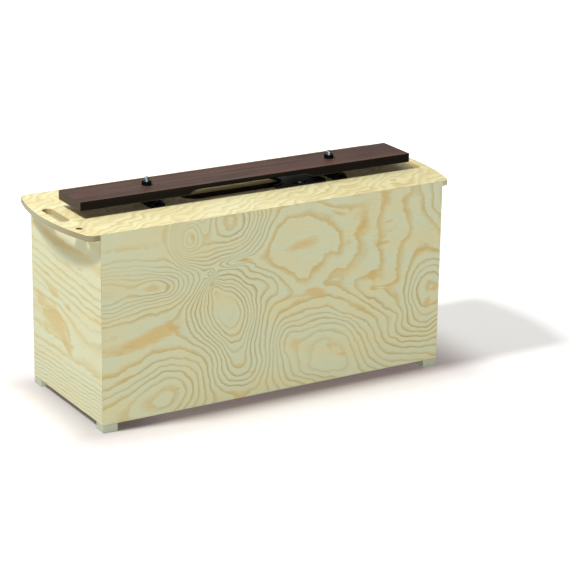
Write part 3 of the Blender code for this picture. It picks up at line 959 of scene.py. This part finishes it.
@dataclass
class ResonatorBox:
    """The plywood box: four walls, the bottom, battens and feet."""

    frame: dict
    body: str = "box"
    foot_rounding: float = 0.0006

    def front_figure(self) -> tuple[Island, ...]:
        """List the hills and hollows of the front veneer."""
        return (
            Island(-0.112, 0.009, 0.062, 0.066, 24, -6.2, 1.3),
            Island(-0.084, -0.041, 0.048, 0.084, 12, -3.8, 1.3),
            Island(-0.084, -0.119, 0.058, 0.032, 6, -2.3, 1.3),
            Island(-0.096, -0.069, 0.018, 0.026, 12, -1.2),
            Island(-0.072, -0.063, 0.012, 0.026, 12, -0.9),
            Island(-0.130, 0.044, 0.016, 0.020, 24, -2.8),
            Island(-0.030, 0.035, 0.030, 0.026, 0, -1.3, 1.2),
            Island(-0.098, 0.165, 0.062, 0.062, 0, -8.2, 1.3),
            Island(-0.160, 0.113, 0.034, 0.032, 0, -3.8, 1.2),
            Island(-0.184, 0.149, 0.026, 0.038, -4, -6.6, 1.3),
            Island(-0.086, 0.086, 0.032, 0.009, 0, 2.8, 1.2),
            Island(-0.137, 0.069, 0.009, 0.010, 0, 2.4),
            Island(-0.385, 0.065, 0.200, 0.043, 0, 7.0, 1.2),
            Island(-0.236, 0.063, 0.040, 0.022, -4, 2.4, 1.3),
            Island(-0.210, -0.137, 0.070, 0.066, 8, 4.4, 1.1),
            Island(-0.330, -0.167, 0.120, 0.064, 14, 4.6, 1.1),
            Island(0.052, 0.090, 0.097, 0.074, -8, 1.45, 2.8),
            Island(0.000, 0.030, 0.036, 0.032, 0, -0.8, 1.2),
            Island(0.102, 0.038, 0.034, 0.034, 0, -0.7, 1.2),
            Island(0.100, -0.120, 0.104, 0.084, -14, 7.2, 1.35),
            Island(0.018, -0.075, 0.026, 0.034, 0, 1.6, 1.2),
            Island(0.145, -0.049, 0.048, 0.016, -20, -1.0, 1.2),
            Island(0.092, -0.175, 0.062, 0.022, 0, -2.2, 1.2),
            Island(0.312, 0.088, 0.098, 0.130, 0, -2.9, 1.6),
            Island(0.160, 0.175, 0.060, 0.016, 0, -0.9, 1.2),
            Island(0.236, -0.047, 0.034, 0.016, -10, -1.1, 1.2),
            Island(0.262, 0.097, 0.030, 0.042, 0, 0.9, 1.3),
            Island(0.180, 0.001, 0.046, 0.028, 0, -1.2, 1.2),
            Island(0.224, -0.019, 0.044, 0.020, -6, -1.2, 1.5),
            Island(0.292, -0.103, 0.060, 0.026, -6, -1.4, 1.2),
            Island(0.333, -0.045, 0.058, 0.062, 0, -6.0, 1.3),
            Island(0.240, -0.201, 0.170, 0.050, 0, 5.2),
            Island(0.348, 0.138, 0.034, 0.058, 10, 2.3),
        )

    def front_stains(self) -> tuple[Island, ...]:
        """List the resin stains of the front veneer."""
        return (
            Island(-0.300, -0.034, 0.080, 0.020, 8, 0.75),
            Island(-0.226, -0.018, 0.044, 0.016, 14, 0.75),
            Island(0.051, 0.097, 0.044, 0.017, 8, 0.85),
            Island(0.146, 0.084, 0.016, 0.016, -30, 0.6),
            Island(0.206, 0.078, 0.012, 0.030, 0, 0.55),
            Island(0.286, 0.080, 0.010, 0.030, 0, 0.5),
            Island(0.205, 0.004, 0.010, 0.024, 0, 0.6),
            Island(0.078, 0.003, 0.030, 0.012, -8, 1.0),
            Island(0.020, 0.000, 0.030, 0.006, 0, 0.7),
            Island(-0.066, 0.084, 0.018, 0.006, -6, 0.9),
            Island(0.325, -0.058, 0.010, 0.013, 0, 0.9),
            Island(0.235, 0.112, 0.015, 0.004, 0, 0.8),
            Island(0.236, 0.094, 0.013, 0.004, 0, 0.7),
            Island(0.228, 0.072, 0.015, 0.005, 0, 0.8),
            Island(0.178, 0.118, 0.012, 0.018, -20, 0.8),
            Island(0.198, 0.018, 0.010, 0.009, 0, 0.9),
            Island(0.128, 0.146, 0.026, 0.006, -16, 0.8),
            Island(0.112, -0.106, 0.014, 0.009, -30, 0.7),
            Island(0.138, -0.126, 0.022, 0.006, -16, 0.7),
            Island(-0.054, -0.127, 0.014, 0.005, 0, 0.7),
            Island(-0.134, 0.052, 0.008, 0.009, 0, 0.8),
            Island(-0.172, 0.144, 0.007, 0.012, 0, 0.8),
            Island(-0.222, 0.062, 0.014, 0.006, 0, 0.7),
            Island(-0.306, -0.094, 0.032, 0.005, 14, 0.8),
            Island(-0.204, -0.130, 0.012, 0.005, 0, 0.7),
            Island(0.334, 0.084, 0.009, 0.009, 0, 0.6),
        )

    def front_clearings(self) -> tuple[Island, ...]:
        """List where the front veneer's lines fade."""
        return (
            Island(-0.108, 0.004, 0.024, 0.036, 20, -1.0, 2.0),
            Island(-0.182, 0.146, 0.050, 0.050, 0, -0.6, 1.5),
            Island(-0.310, 0.110, 0.090, 0.060, 0, -0.5, 1.5),
            Island(-0.340, 0.040, 0.060, 0.060, 0, -0.35, 1.5),
            Island(-0.250, -0.150, 0.070, 0.040, 0, -0.45, 1.5),
            Island(0.100, -0.120, 0.110, 0.070, -14, -0.55, 1.5),
        )

    def end_figure(self) -> tuple[Island, ...]:
        """List the hills and hollows of the end veneer."""
        return (
            Island(0.0, -0.244, 0.900, 0.118, -1, 14.7, 1.4),
            Island(0.020, 0.146, 0.900, 0.122, 5, 8.6, 1.3),
            Island(-0.080, -0.035, 0.060, 0.044, 0, 0.5, 1.6),
            Island(0.036, -0.030, 0.050, 0.034, 8, -0.7, 1.2),
        )

    def end_stains(self) -> tuple[Island, ...]:
        """List the resin stains of the end veneer."""
        return (
            Island(0.046, -0.032, 0.066, 0.032, 14, 0.9, 1.2),
            Island(0.052, 0.022, 0.050, 0.012, 10, 0.8),
            Island(-0.010, -0.072, 0.030, 0.010, 26, 0.7),
            Island(-0.010, 0.010, 0.014, 0.008, 0, 0.7),
            Island(0.010, 0.120, 0.052, 0.010, -4, 0.9),
            Island(0.080, 0.126, 0.040, 0.012, 4, 0.7),
            Island(-0.060, 0.124, 0.030, 0.007, 0, 0.6),
            Island(-0.060, 0.094, 0.020, 0.005, -6, 0.7),
            Island(-0.095, 0.076, 0.028, 0.004, 0, 0.7),
            Island(-0.122, 0.020, 0.024, 0.004, 6, 0.8),
            Island(-0.118, -0.086, 0.026, 0.005, 0, 0.8),
            Island(0.060, -0.082, 0.050, 0.004, 4, 0.5),
            Island(-0.022, -0.060, 0.014, 0.005, 0, 0.5),
            Island(0.115, -0.010, 0.020, 0.020, 0, 0.5),
        )

    def build(self) -> None:
        """Dress the walls and the inner pieces, and replace the feet."""
        self.long_walls()
        self.end_walls()
        self.bottom()
        self.battens()
        self.feet()

    def veneer(self, name: str, plane: Plane, **choices: Any) -> None:
        """Dress a panel's CAD node in veneer.

        Args:
            name: the panel's node.
            plane: the plane that it lies in.
            choices: the veneer's other settings.
        """
        low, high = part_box(name)
        axis = "XYZ".index(plane.value[2])
        finish = Veneer(
            name=name + "_veneer",
            plane=plane,
            centre=tuple((low + high) / 2),
            thickness=high[axis] - low[axis],
            edge_from=low[axis],
            **choices,
        )
        dress(self.frame["nodes"][name], finish.build())
        LOG.info("%s dressed, %d islands", name, len(finish.islands))

    def long_walls(self) -> None:
        """Dress the front wall, and the back wall with the same sheet turned round."""
        for name, turn in (("front_panel", 1.0), ("back_panel", -1.0)):
            islands, stains, clearings = (
                tuple(replace(i, along=turn * i.along, up=turn * i.up) for i in listed)
                for listed in (self.front_figure(), self.front_stains(), self.front_clearings())
            )
            self.veneer(
                name,
                Plane.LENGTHWISE,
                islands=islands,
                stains=stains,
                clearings=clearings,
                outward=-turn,
                level=9.88,
                drift=0.70,
                ripple=0.6,
                tear=0.20,
            )

    def end_walls(self) -> None:
        """Dress the two end walls in a paler sheet with nearly level lines."""
        tints = VeneerTints(
            pale=(0.600, 0.616, 0.414), blush=(0.628, 0.587, 0.362), fine_line=(0.35, 0.32, 0.165),
            wide_line=(0.520, 0.430, 0.180), stain=(0.560, 0.440, 0.200),
        )
        for name, turn in (("left_panel", 1.0), ("right_panel", -1.0)):
            islands, stains = (
                tuple(replace(i, along=turn * i.along, tilt=turn * i.tilt) for i in listed)
                for listed in (self.end_figure(), self.end_stains())
            )
            self.veneer(
                name,
                Plane.CROSSWISE,
                islands=islands,
                stains=stains,
                outward=-turn,
                level=2.4,
                tints=tints,
                line_strength=0.75,
            )

    def bottom(self) -> None:
        """Dress the bottom in a plain sheet with lines along it."""
        self.veneer(
            "bottom_panel", Plane.LEVEL, outward=-1.0, slope=(3.0, 42.0), drift=3.0, sway=0.012
        )

    def battens(self) -> None:
        """Dress the battens and blocks inside the box."""
        upright = SolidWood(
            "batten_upright", (0.55, 0.42, 0.24), (0.38, 0.25, 0.12), (160.0, 160.0, 6.0)
        ).build()
        level = SolidWood(
            "batten_level", (0.55, 0.42, 0.24), (0.38, 0.25, 0.12), (6.0, 160.0, 160.0)
        ).build()
        for name, node in self.frame["nodes"].items():
            if name.startswith("corner_post"):
                dress(node, upright)
            elif "strip" in name or name.startswith("pin_block"):
                dress(node, level)

    def feet(self) -> None:
        """Replace each foot by one with softer edges."""
        wood = SolidWood(
            "foot_wood", (0.46, 0.50, 0.37), (0.36, 0.38, 0.26), (300.0, 9.0, 300.0), 0.6
        ).build()
        for name in sorted(self.frame["nodes"]):
            if name.startswith("foot_") and "screw" not in name:
                piece = softened(
                    self.frame["nodes"][name], name + "_block", self.foot_rounding, wood
                )
                ridden(piece, self.body, "foot_wood", name)


@dataclass
class TopBoard:
    """The top board with its ears, finger slots and sound hole."""

    frame: dict
    body: str = "box"
    rounding: float = 0.0007

    def build(self) -> None:
        """Replace the board by one with eased edges and its own veneer."""
        low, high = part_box("top_board")
        tints = VeneerTints(
            pale=(0.945, 0.897, 0.550),
            blush=(0.905, 0.805, 0.435),
            wide_line=(0.700, 0.560, 0.240),
            fine_line=(0.660, 0.510, 0.215),
            stain=(0.740, 0.570, 0.240),
        )
        veneer = Veneer(
            name="top_board_veneer",
            plane=Plane.LEVEL,
            centre=tuple((low + high) / 2),
            thickness=high.z - low.z,
            edge_from=low.z,
            slope=(-26.0, 44.0),
            drift=5.0,
            tear=0.9,
            breadth=0.62,
            ripple=1.2,
            # The board's edges beyond these distances get painted light and shade.
            painted_edge_from=(0.380, 0.080),
            sway=0.010,
            tints=tints,
            line_strength=0.85,
        )
        piece = softened(
            self.frame["nodes"]["top_board"], "top_board_eased", self.rounding, veneer.build()
        )
        ridden(piece, self.body, "board_plywood", "top_board")


@dataclass
class ToneBar:
    """The rosewood bar and the two grommets that ride in it."""

    frame: dict
    body: str = "bar"

    def build(self) -> None:
        """Replace the bar by a smooth-shaded copy and dress its grommets."""
        nodes = self.frame["nodes"]
        piece = softened(nodes["tone_bar"], "rosewood_bar", 0.0003, Rosewood().build())
        ridden(piece, self.body, "rosewood", "tone_bar")
        rubber = Moulded(
            "grommet_rubber", (0.003, 0.003, 0.003), (0.010, 0.010, 0.011), 0.50, 0.00004
        ).build()
        for side in ("left", "right"):
            name = "grommet_" + side
            collar = softened(nodes[name], name + "_collar", 0.0004, rubber)
            ridden(collar, self.body, "black_rubber", name)


@dataclass(frozen=True)
class ScrewSizes:
    """The sizes of a cross-recessed screw, in metres, and which way its head faces."""

    head_radius: float
    rim: float
    dome: float
    crown_radius: float
    shank_radius: float
    length: float
    thread_turns: float
    recess_width: float = 0.0009
    recess_depth: float = 0.0012
    downward: bool = False


class ScrewKit:
    """Makes sets of cross-recessed screws with Geometry Nodes, one plain mesh for each set."""

    SIDES = 24
    SEED = 7
    DOME_STEPS = 4

    def __init__(self, material: bpy.types.Material) -> None:
        """Build the tree.

        Args:
            material: the screws' material.
        """
        self.material = material
        self.tree = bpy.data.node_groups.new("screw set", "GeometryNodeTree")
        self.graph = Graph(self.tree)
        self.sockets = {}
        face = self.tree.interface
        face.new_socket("Spots", in_out="INPUT", socket_type="NodeSocketGeometry")
        for label, kind in (
            ("Head Radius", "Float"),
            ("Rim", "Float"),
            ("Dome", "Float"),
            ("Crown Share", "Float"),
            ("Shank Radius", "Float"),
            ("Length", "Float"),
            ("Thread Turns", "Float"),
            ("Recess Width", "Float"),
            ("Recess Depth", "Float"),
            ("Flip", "Float"),
            ("Seed", "Int"),
            ("Finish", "Material"),
        ):
            socket = face.new_socket(label, in_out="INPUT", socket_type="NodeSocket" + kind)
            self.sockets[label] = socket.identifier
        face.new_socket("Screws", in_out="OUTPUT", socket_type="NodeSocketGeometry")
        self.given = self.graph.node("NodeGroupInput").outputs
        self.wire()

    def wire(self) -> None:
        """Wire the tree: a turned body, less its recess, with a thread, at every spot."""
        graph, given = self.graph, self.given
        screw = self.joined(self.recessed(self.turned_body()), self.thread())
        spots = graph.node("GeometryNodeInstanceOnPoints")
        graph.feed(spots.inputs["Points"], given["Spots"])
        graph.feed(spots.inputs["Instance"], screw)
        roll = graph.node("FunctionNodeRandomValue", data_type="FLOAT")
        graph.feed(roll.inputs[2], 0.0)
        graph.feed(roll.inputs[3], math.pi)
        graph.feed(roll.inputs["Seed"], given["Seed"])
        turn = graph.node("ShaderNodeCombineXYZ")
        graph.feed(turn.inputs["X"], given["Flip"])
        graph.feed(turn.inputs["Z"], roll.outputs[1])
        graph.feed(spots.inputs["Rotation"], turn.outputs["Vector"])
        real = graph.node("GeometryNodeRealizeInstances")
        graph.feed(real.inputs["Geometry"], spots.outputs["Instances"])
        painted = graph.node("GeometryNodeSetMaterial")
        graph.feed(painted.inputs["Geometry"], real.outputs["Geometry"])
        graph.feed(painted.inputs["Material"], given["Finish"])
        out = graph.node("NodeGroupOutput")
        graph.feed(out.inputs["Screws"], painted.outputs["Geometry"])

    def drawn_out(self, mesh: Value, faces: Value, rise: Value, share: Value) -> tuple:
        """Draw faces out along Z and shrink them.

        Args:
            mesh: the mesh so far.
            faces: which faces are drawn out.
            rise: how far, downwards if it is negative.
            share: their size after it, as a share of before.

        Returns:
            The mesh and the faces at its new end.
        """
        graph = self.graph
        step = graph.node("ShaderNodeCombineXYZ")
        graph.feed(step.inputs["Z"], rise)
        drawn = graph.node("GeometryNodeExtrudeMesh", mode="FACES")
        for name, value in (
            ("Mesh", mesh),
            ("Selection", faces),
            ("Offset", step.outputs["Vector"]),
            ("Offset Scale", 1.0),
            ("Individual", False),
        ):
            graph.feed(drawn.inputs[name], value)
        shrunk = graph.node("GeometryNodeScaleElements", domain="FACE")
        graph.feed(shrunk.inputs["Geometry"], drawn.outputs["Mesh"])
        graph.feed(shrunk.inputs["Selection"], drawn.outputs["Top"])
        graph.feed(shrunk.inputs["Scale"], share)
        return shrunk.outputs["Geometry"], drawn.outputs["Top"]

    def turned_body(self) -> bpy.types.NodeSocket:
        """Turn the domed head and the pointed shank, with the head's seat at Z = 0."""
        graph, given = self.graph, self.given
        head = graph.node("GeometryNodeMeshCylinder", fill_type="NGON")
        graph.feed(head.inputs["Vertices"], self.SIDES)
        graph.feed(head.inputs["Radius"], given["Head Radius"])
        graph.feed(head.inputs["Depth"], given["Rim"])
        mesh = self.moved(head.outputs["Mesh"], graph.math("MULTIPLY", given["Rim"], 0.5))
        end, last = head.outputs["Top"], 1.0
        for step in range(1, self.DOME_STEPS + 1):
            angle = math.pi / 2 * step / self.DOME_STEPS
            before = angle - math.pi / 2 / self.DOME_STEPS
            rise = graph.math("MULTIPLY", given["Dome"], math.sin(angle) - math.sin(before))
            shrink = graph.math("SUBTRACT", 1.0, given["Crown Share"])
            width = graph.math("MULTIPLY_ADD", shrink, math.cos(angle) - 1.0, 1.0)
            mesh, end = self.drawn_out(mesh, end, rise, graph.math("DIVIDE", width, last))
            last = width
        neck = graph.math("DIVIDE", given["Shank Radius"], given["Head Radius"])
        mesh, end = self.drawn_out(mesh, head.outputs["Bottom"], 0.0, neck)
        point = graph.math("MULTIPLY", given["Shank Radius"], 2.0)
        straight = graph.math("SUBTRACT", point, given["Length"])
        mesh, end = self.drawn_out(mesh, end, straight, 1.0)
        mesh, end = self.drawn_out(mesh, end, graph.math("MULTIPLY", point, -1.0), 0.08)
        return mesh

    def moved(self, mesh: Value, rise: Value) -> bpy.types.NodeSocket:
        """Move a mesh along Z."""
        graph = self.graph
        step = graph.node("ShaderNodeCombineXYZ")
        graph.feed(step.inputs["Z"], rise)
        placed = graph.node("GeometryNodeTransform")
        graph.feed(placed.inputs["Geometry"], mesh)
        graph.feed(placed.inputs["Translation"], step.outputs["Vector"])
        return placed.outputs["Geometry"]

    def recessed(self, body: Value) -> bpy.types.NodeSocket:
        """Cut a cross into the crown of a screw.

        Args:
            body: the screw's body.

        Returns:
            The body with its recess.
        """
        graph, given = self.graph, self.given
        crown = graph.math("ADD", given["Rim"], given["Dome"])
        deep = graph.math("MULTIPLY", given["Recess Depth"], 2.0)
        long = graph.math("MULTIPLY", given["Head Radius"], 1.15)
        cut = graph.node("GeometryNodeMeshBoolean", operation="DIFFERENCE")
        graph.feed(cut.inputs["Mesh 1"], body)
        for across in (False, True):
            size = graph.node("ShaderNodeCombineXYZ")
            graph.feed(size.inputs["X"], given["Recess Width"] if across else long)
            graph.feed(size.inputs["Y"], long if across else given["Recess Width"])
            graph.feed(size.inputs["Z"], deep)
            bit = graph.node("GeometryNodeMeshCube")
            graph.feed(bit.inputs["Size"], size.outputs["Vector"])
            graph.feed(cut.inputs["Mesh 2"], self.moved(bit.outputs["Mesh"], crown))
        return cut.outputs["Mesh"]

    def thread(self) -> bpy.types.NodeSocket:
        """Wind a thread round the straight part of the shank."""
        graph, given = self.graph, self.given
        point = graph.math("MULTIPLY", given["Shank Radius"], 2.0)
        reach = graph.math("SUBTRACT", given["Length"], graph.math("MULTIPLY", point, 1.6))
        coil = graph.node("GeometryNodeCurveSpiral")
        graph.feed(coil.inputs["Resolution"], 16)
        graph.feed(coil.inputs["Rotations"], given["Thread Turns"])
        graph.feed(coil.inputs["Start Radius"], given["Shank Radius"])
        graph.feed(coil.inputs["End Radius"], given["Shank Radius"])
        graph.feed(coil.inputs["Height"], reach)
        ridge = graph.node("GeometryNodeCurvePrimitiveCircle", mode="RADIUS")
        graph.feed(ridge.inputs["Resolution"], 4)
        graph.feed(ridge.inputs["Radius"], graph.math("MULTIPLY", given["Shank Radius"], 0.11))
        swept = graph.node("GeometryNodeCurveToMesh")
        graph.feed(swept.inputs["Curve"], coil.outputs["Curve"])
        graph.feed(swept.inputs["Profile Curve"], ridge.outputs["Curve"])
        graph.feed(swept.inputs["Fill Caps"], True)
        drop = graph.math("SUBTRACT", point, given["Length"])
        return self.moved(swept.outputs["Mesh"], drop)

    def joined(self, *meshes: Value) -> bpy.types.NodeSocket:
        """Join meshes."""
        join = self.graph.node("GeometryNodeJoinGeometry")
        for mesh in meshes:
            self.graph.feed(join.inputs["Geometry"], mesh)
        return join.outputs["Geometry"]

    def make(self, name: str, spots: list[Vector], sizes: ScrewSizes) -> bpy.types.Object:
        """Make a set of screws.

        Args:
            name: the set's name.
            spots: where the seats of their heads are.
            sizes: their sizes.

        Returns:
            The set as one plain mesh.
        """
        mesh = bpy.data.meshes.new(name)
        mesh.from_pydata([tuple(spot) for spot in spots], [], [])
        piece = bpy.data.objects.new(name, mesh)
        bpy.context.scene.collection.objects.link(piece)
        modifier = piece.modifiers.new("screw set", "NODES")
        modifier.node_group = self.tree
        for label, value in (
            ("Head Radius", sizes.head_radius),
            ("Rim", sizes.rim),
            ("Dome", sizes.dome),
            ("Crown Share", sizes.crown_radius / sizes.head_radius),
            ("Shank Radius", sizes.shank_radius),
            ("Length", sizes.length),
            ("Thread Turns", sizes.thread_turns),
            ("Recess Width", sizes.recess_width),
            ("Recess Depth", sizes.recess_depth),
            ("Flip", math.pi if sizes.downward else 0.0),
            ("Seed", self.SEED),
            ("Finish", self.material),
        ):
            modifier[self.sockets[label]] = value
        piece = made_plain(piece)
        piece.data.shade_smooth()
        piece.data.set_sharp_from_angle(angle=math.radians(32))
        return piece


@dataclass
class Supports:
    """The pins and the half-round rails on the board, and all the box's screws."""

    frame: dict
    body: str = "box"
    slide_screw: ScrewSizes = ScrewSizes(0.0033, 0.0008, 0.0018, 0.0012, 0.0020, 0.0120, 5.0)
    foot_screw: ScrewSizes = ScrewSizes(
        0.0040, 0.0010, 0.0015, 0.0026, 0.0020, 0.0323, 16.0, downward=True
    )

    def build(self) -> None:
        """Dress the rails and replace the pins and screws by finer ones."""
        nodes = self.frame["nodes"]
        rubber = Moulded(
            "rail_rubber", (0.003, 0.003, 0.003), (0.010, 0.010, 0.011), 0.48, 0.00005
        ).build()
        steel = Plated().build()
        for side in ("left", "right"):
            rail = softened(nodes["support_" + side], f"rail_{side}", 0.0009, rubber)
            ridden(rail, self.body, "black_rubber", "support_" + side)
            pin = softened(nodes["pin_" + side], f"pin_{side}_polished", 0.0003, steel)
            ridden(pin, self.body, "bright_steel", "pin_" + side)
        kit = ScrewKit(steel)
        self.screws(kit, "slide_screw", ("front", "back"), self.slide_screw)
        corners = ("front_left", "front_right", "back_left", "back_right")
        self.screws(kit, "foot_screw", corners, self.foot_screw)

    def screws(self, kit: ScrewKit, kind: str, places: tuple, sizes: ScrewSizes) -> None:
        """Replace a kind of screw by ones with a cross recess and a thread.

        Args:
            kind: how the CAD nodes' names start.
            places: how they end.
            sizes: the screws' sizes.
        """
        names = [f"{kind}_{place}" for place in places]
        spots = []
        for name in names:
            low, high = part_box(name)
            seat = low.z + sizes.rim + sizes.dome if sizes.downward else low.z + sizes.length
            spots.append(Vector(((low.x + high.x) / 2, (low.y + high.y) / 2, seat)))
        piece = kit.make(kind + "s", spots, sizes)
        ridden(piece, self.body, "bright_steel", *names)


@dataclass
class TuningSlide:
    """The black slide over the right part of the sound hole."""

    frame: dict
    body: str = "slide"

    def build(self) -> None:
        """Replace the slide by one with a rounded lip."""
        # Painted sheen: the slide's colour and dust are lighter and bluish; painted shade: its
        # upright faces keep 0.3 of the colour.
        plastic = Moulded(
            "slide_plastic", (0.013, 0.021, 0.029), (0.028, 0.040, 0.050), 0.36, 0.00002, 0.08, 0.3
        ).build()
        piece = softened(self.frame["nodes"]["tuning_slide"], "slide_plate", 0.0009, plastic)
        ridden(piece, self.body, "black_plastic", "tuning_slide")


@dataclass
class Studio:
    """The pale floor, the soft light and the camera."""

    camera_place: tuple[float, float, float] = (-1.94525, -3.3823, 1.5001)
    camera_forward: tuple[float, float, float] = (0.49238, 0.80843, -0.32248)
    camera_up: tuple[float, float, float] = (0.15368, 0.28393, 0.94645)
    focal_length: float = 138.89
    sensor_width: float = 36.0
    floor_size: float = 60.0
    key_place: tuple[float, float, float] = (-2.31, 0.10, 3.73)
    key_power: float = 575.0
    key_radius: float = 0.24
    fill_travel: tuple[float, float, float] = (0.46, 0.89, 0.0)
    fill_strength: float = 3.29
    upper_travel: tuple[float, float, float] = (0.46, 0.89, -0.23)
    upper_strength: float = 0.27
    fill_angle: float = 10.0
    sky_low: float = 0.025
    sky_high: float = 0.76
    sky_middle: tuple[float, float, float] = (0.0, 0.72, 0.69)
    floor_colour: Colour = (0.720, 0.702, 0.690)
    floor_glow: Colour = (0.533, 0.524, 0.513)
    # Painted shade: the floor's glow is lower under and near the box.
    under_box_shade_glow: Colour = (0.145, 0.106, 0.104)
    shade_glow_reach: float = 0.15
    glow_far: tuple[float, float, float] = (0.5, 1.2, 1.0)
    footprint: tuple[float, float, float] = (0.353, 0.140, 0.0)
    # Where and how strongly shade is painted on the floor beside the left end.
    left_shade_across: tuple[float, ...] = (-0.410, -0.348, -0.300, -0.200)
    left_shade_amounts: tuple[float, float] = (0.17, 0.60)
    left_shade_along: tuple[float, float] = (0.175, 0.125)

    def build(self) -> None:
        """Set the stage."""
        self.floor()
        self.world()
        self.lamps()
        self.camera()
        bpy.context.scene.view_settings.view_transform = "Standard"

    def floor(self) -> None:
        """Lay a white floor that keeps the object's shadow, with painted shade in its glow near and
        under the box.
        """
        mesh = bpy.data.meshes.new("floor")
        half = self.floor_size / 2
        corners = [(-half, -half, 0), (half, -half, 0), (half, half, 0), (-half, half, 0)]
        mesh.from_pydata(corners, [], [(0, 1, 2, 3)])
        floor = bpy.data.objects.new("floor", mesh)
        bpy.context.scene.collection.objects.link(floor)
        paint = Paint("studio_floor")
        graph = paint.graph
        seen = graph.node("ShaderNodeLightPath").outputs["Is Camera Ray"]
        # Painted shade: the glow falls from full strength to a dark tone under the box, over the
        # given reach.
        away = graph.vector("SUBTRACT", graph.vector("ABSOLUTE", paint.place), self.footprint)
        away = graph.length(graph.vector("MAXIMUM", away, (0.0, 0.0, 0.0)))
        share = graph.ramp(away, 0.0, self.shade_glow_reach)
        glow = graph.blend(share, self.under_box_shade_glow, self.floor_glow)
        start, end, more = self.glow_far
        glow = graph.blend(graph.ramp(away, start, end), glow, (more, more, more))
        # Painted shade on the floor beside the left end.
        colour, glow = self.shaded_beside_left(paint, glow)
        paint.set(Base_Color=colour, Roughness=0.9, Specular_IOR_Level=0.0)
        paint.set(Emission_Color=glow, Emission_Strength=seen)
        clear = graph.node("ShaderNodeBsdfTransparent")
        mix = graph.node("ShaderNodeMixShader")
        below = graph.node("ShaderNodeNewGeometry").outputs["Backfacing"]
        graph.feed(mix.inputs["Fac"], below)
        graph.feed(mix.inputs[1], paint.shader.outputs["BSDF"])
        graph.feed(mix.inputs[2], clear.outputs["BSDF"])
        output = paint.material.node_tree.nodes["Material Output"]
        graph.feed(output.inputs["Surface"], mix.outputs["Shader"])
        mesh.materials.append(paint.material)

    def shaded_beside_left(self, paint: Paint, glow: Value) -> tuple:
        """Paint shade into the floor's colour and glow beside the left end, where the box takes the
        soft light away.

        Args:
            paint: the floor's material under construction.
            glow: the floor's glow.

        Returns:
            The floor's colour and its glow.
        """
        graph = paint.graph
        parts = graph.parts(paint.place)
        outside, edge, inside, within = self.left_shade_across
        share = graph.math(
            "MULTIPLY", graph.ramp(parts["X"], outside, edge), graph.ramp(parts["X"], within, inside)
        )
        beside = graph.ramp(graph.math("ABSOLUTE", parts["Y"]), *self.left_shade_along)
        share = graph.math("MULTIPLY", share, beside)
        # Painted shade: the floor's colour and glow are darkened beside the left end.
        dark, shaded_glow = (
            graph.math("MULTIPLY_ADD", share, -amount, 1.0) for amount in self.left_shade_amounts
        )
        return graph.scaled(self.floor_colour, dark), graph.scaled(glow, shaded_glow)

    def world(self) -> None:
        """Light the scene from a sky that is brightest high behind, and show it white."""
        world = bpy.data.worlds.new("studio")
        world.use_nodes = True
        bpy.context.scene.world = world
        graph = Graph(world.node_tree)
        seen = graph.node("ShaderNodeLightPath").outputs["Is Camera Ray"]
        way = graph.node("ShaderNodeTexCoord").outputs["Generated"]
        near = graph.math("MAXIMUM", graph.dot(way, self.sky_middle), 0.0)
        near = graph.math("MULTIPLY", near, near)
        light = graph.math("MULTIPLY_ADD", near, self.sky_high, self.sky_low)
        background = world.node_tree.nodes["Background"]
        background.inputs["Color"].default_value = (1.0, 1.0, 1.0, 1.0)
        graph.feed(background.inputs["Strength"], graph.math("MAXIMUM", seen, light))

    def lamps(self) -> None:
        """Hang the key light high at the left, and two soft fills low in front."""
        key = bpy.data.lights.new("key", "POINT")
        key.energy = self.key_power
        key.shadow_soft_size = self.key_radius
        light = bpy.data.objects.new("key", key)
        light.location = self.key_place
        bpy.context.scene.collection.objects.link(light)
        for name, travel, strength in (
            ("front fill", self.fill_travel, self.fill_strength),
            ("upper fill", self.upper_travel, self.upper_strength),
        ):
            sun = bpy.data.lights.new(name, "SUN")
            sun.energy = strength
            sun.angle = math.radians(self.fill_angle)
            light = bpy.data.objects.new(name, sun)
            light.rotation_euler = Vector(travel).to_track_quat("-Z", "Y").to_euler()
            bpy.context.scene.collection.objects.link(light)

    def camera(self) -> None:
        """Set the camera at the photograph's viewing angle."""
        lens = bpy.data.cameras.new("camera")
        lens.sensor_width = self.sensor_width
        lens.sensor_fit = "HORIZONTAL"
        lens.lens = self.focal_length
        camera = bpy.data.objects.new("camera", lens)
        forward = Vector(self.camera_forward).normalized()
        up = Vector(self.camera_up).normalized()
        right = forward.cross(up)
        turn = Matrix((right, up, -forward)).transposed().to_4x4()
        camera.matrix_world = Matrix.Translation(self.camera_place) @ turn
        bpy.context.scene.collection.objects.link(camera)
        bpy.context.scene.camera = camera


def corners(box: Any) -> list:
    """Give a box's corners as plain lists of numbers."""
    return [list(map(float, corner)) for corner in box]


def main() -> None:
    """Build the stage and each sub-assembly in order."""
    logging.basicConfig(level=logging.INFO, format="%(name)s: %(message)s")
    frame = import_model()
    Studio().build()
    for assembly in (ResonatorBox, TopBoard, Supports, TuningSlide, ToneBar):
        assembly(frame).build()
        LOG.info("%s built", assembly.__name__)


if __name__ == "__main__":
    main()
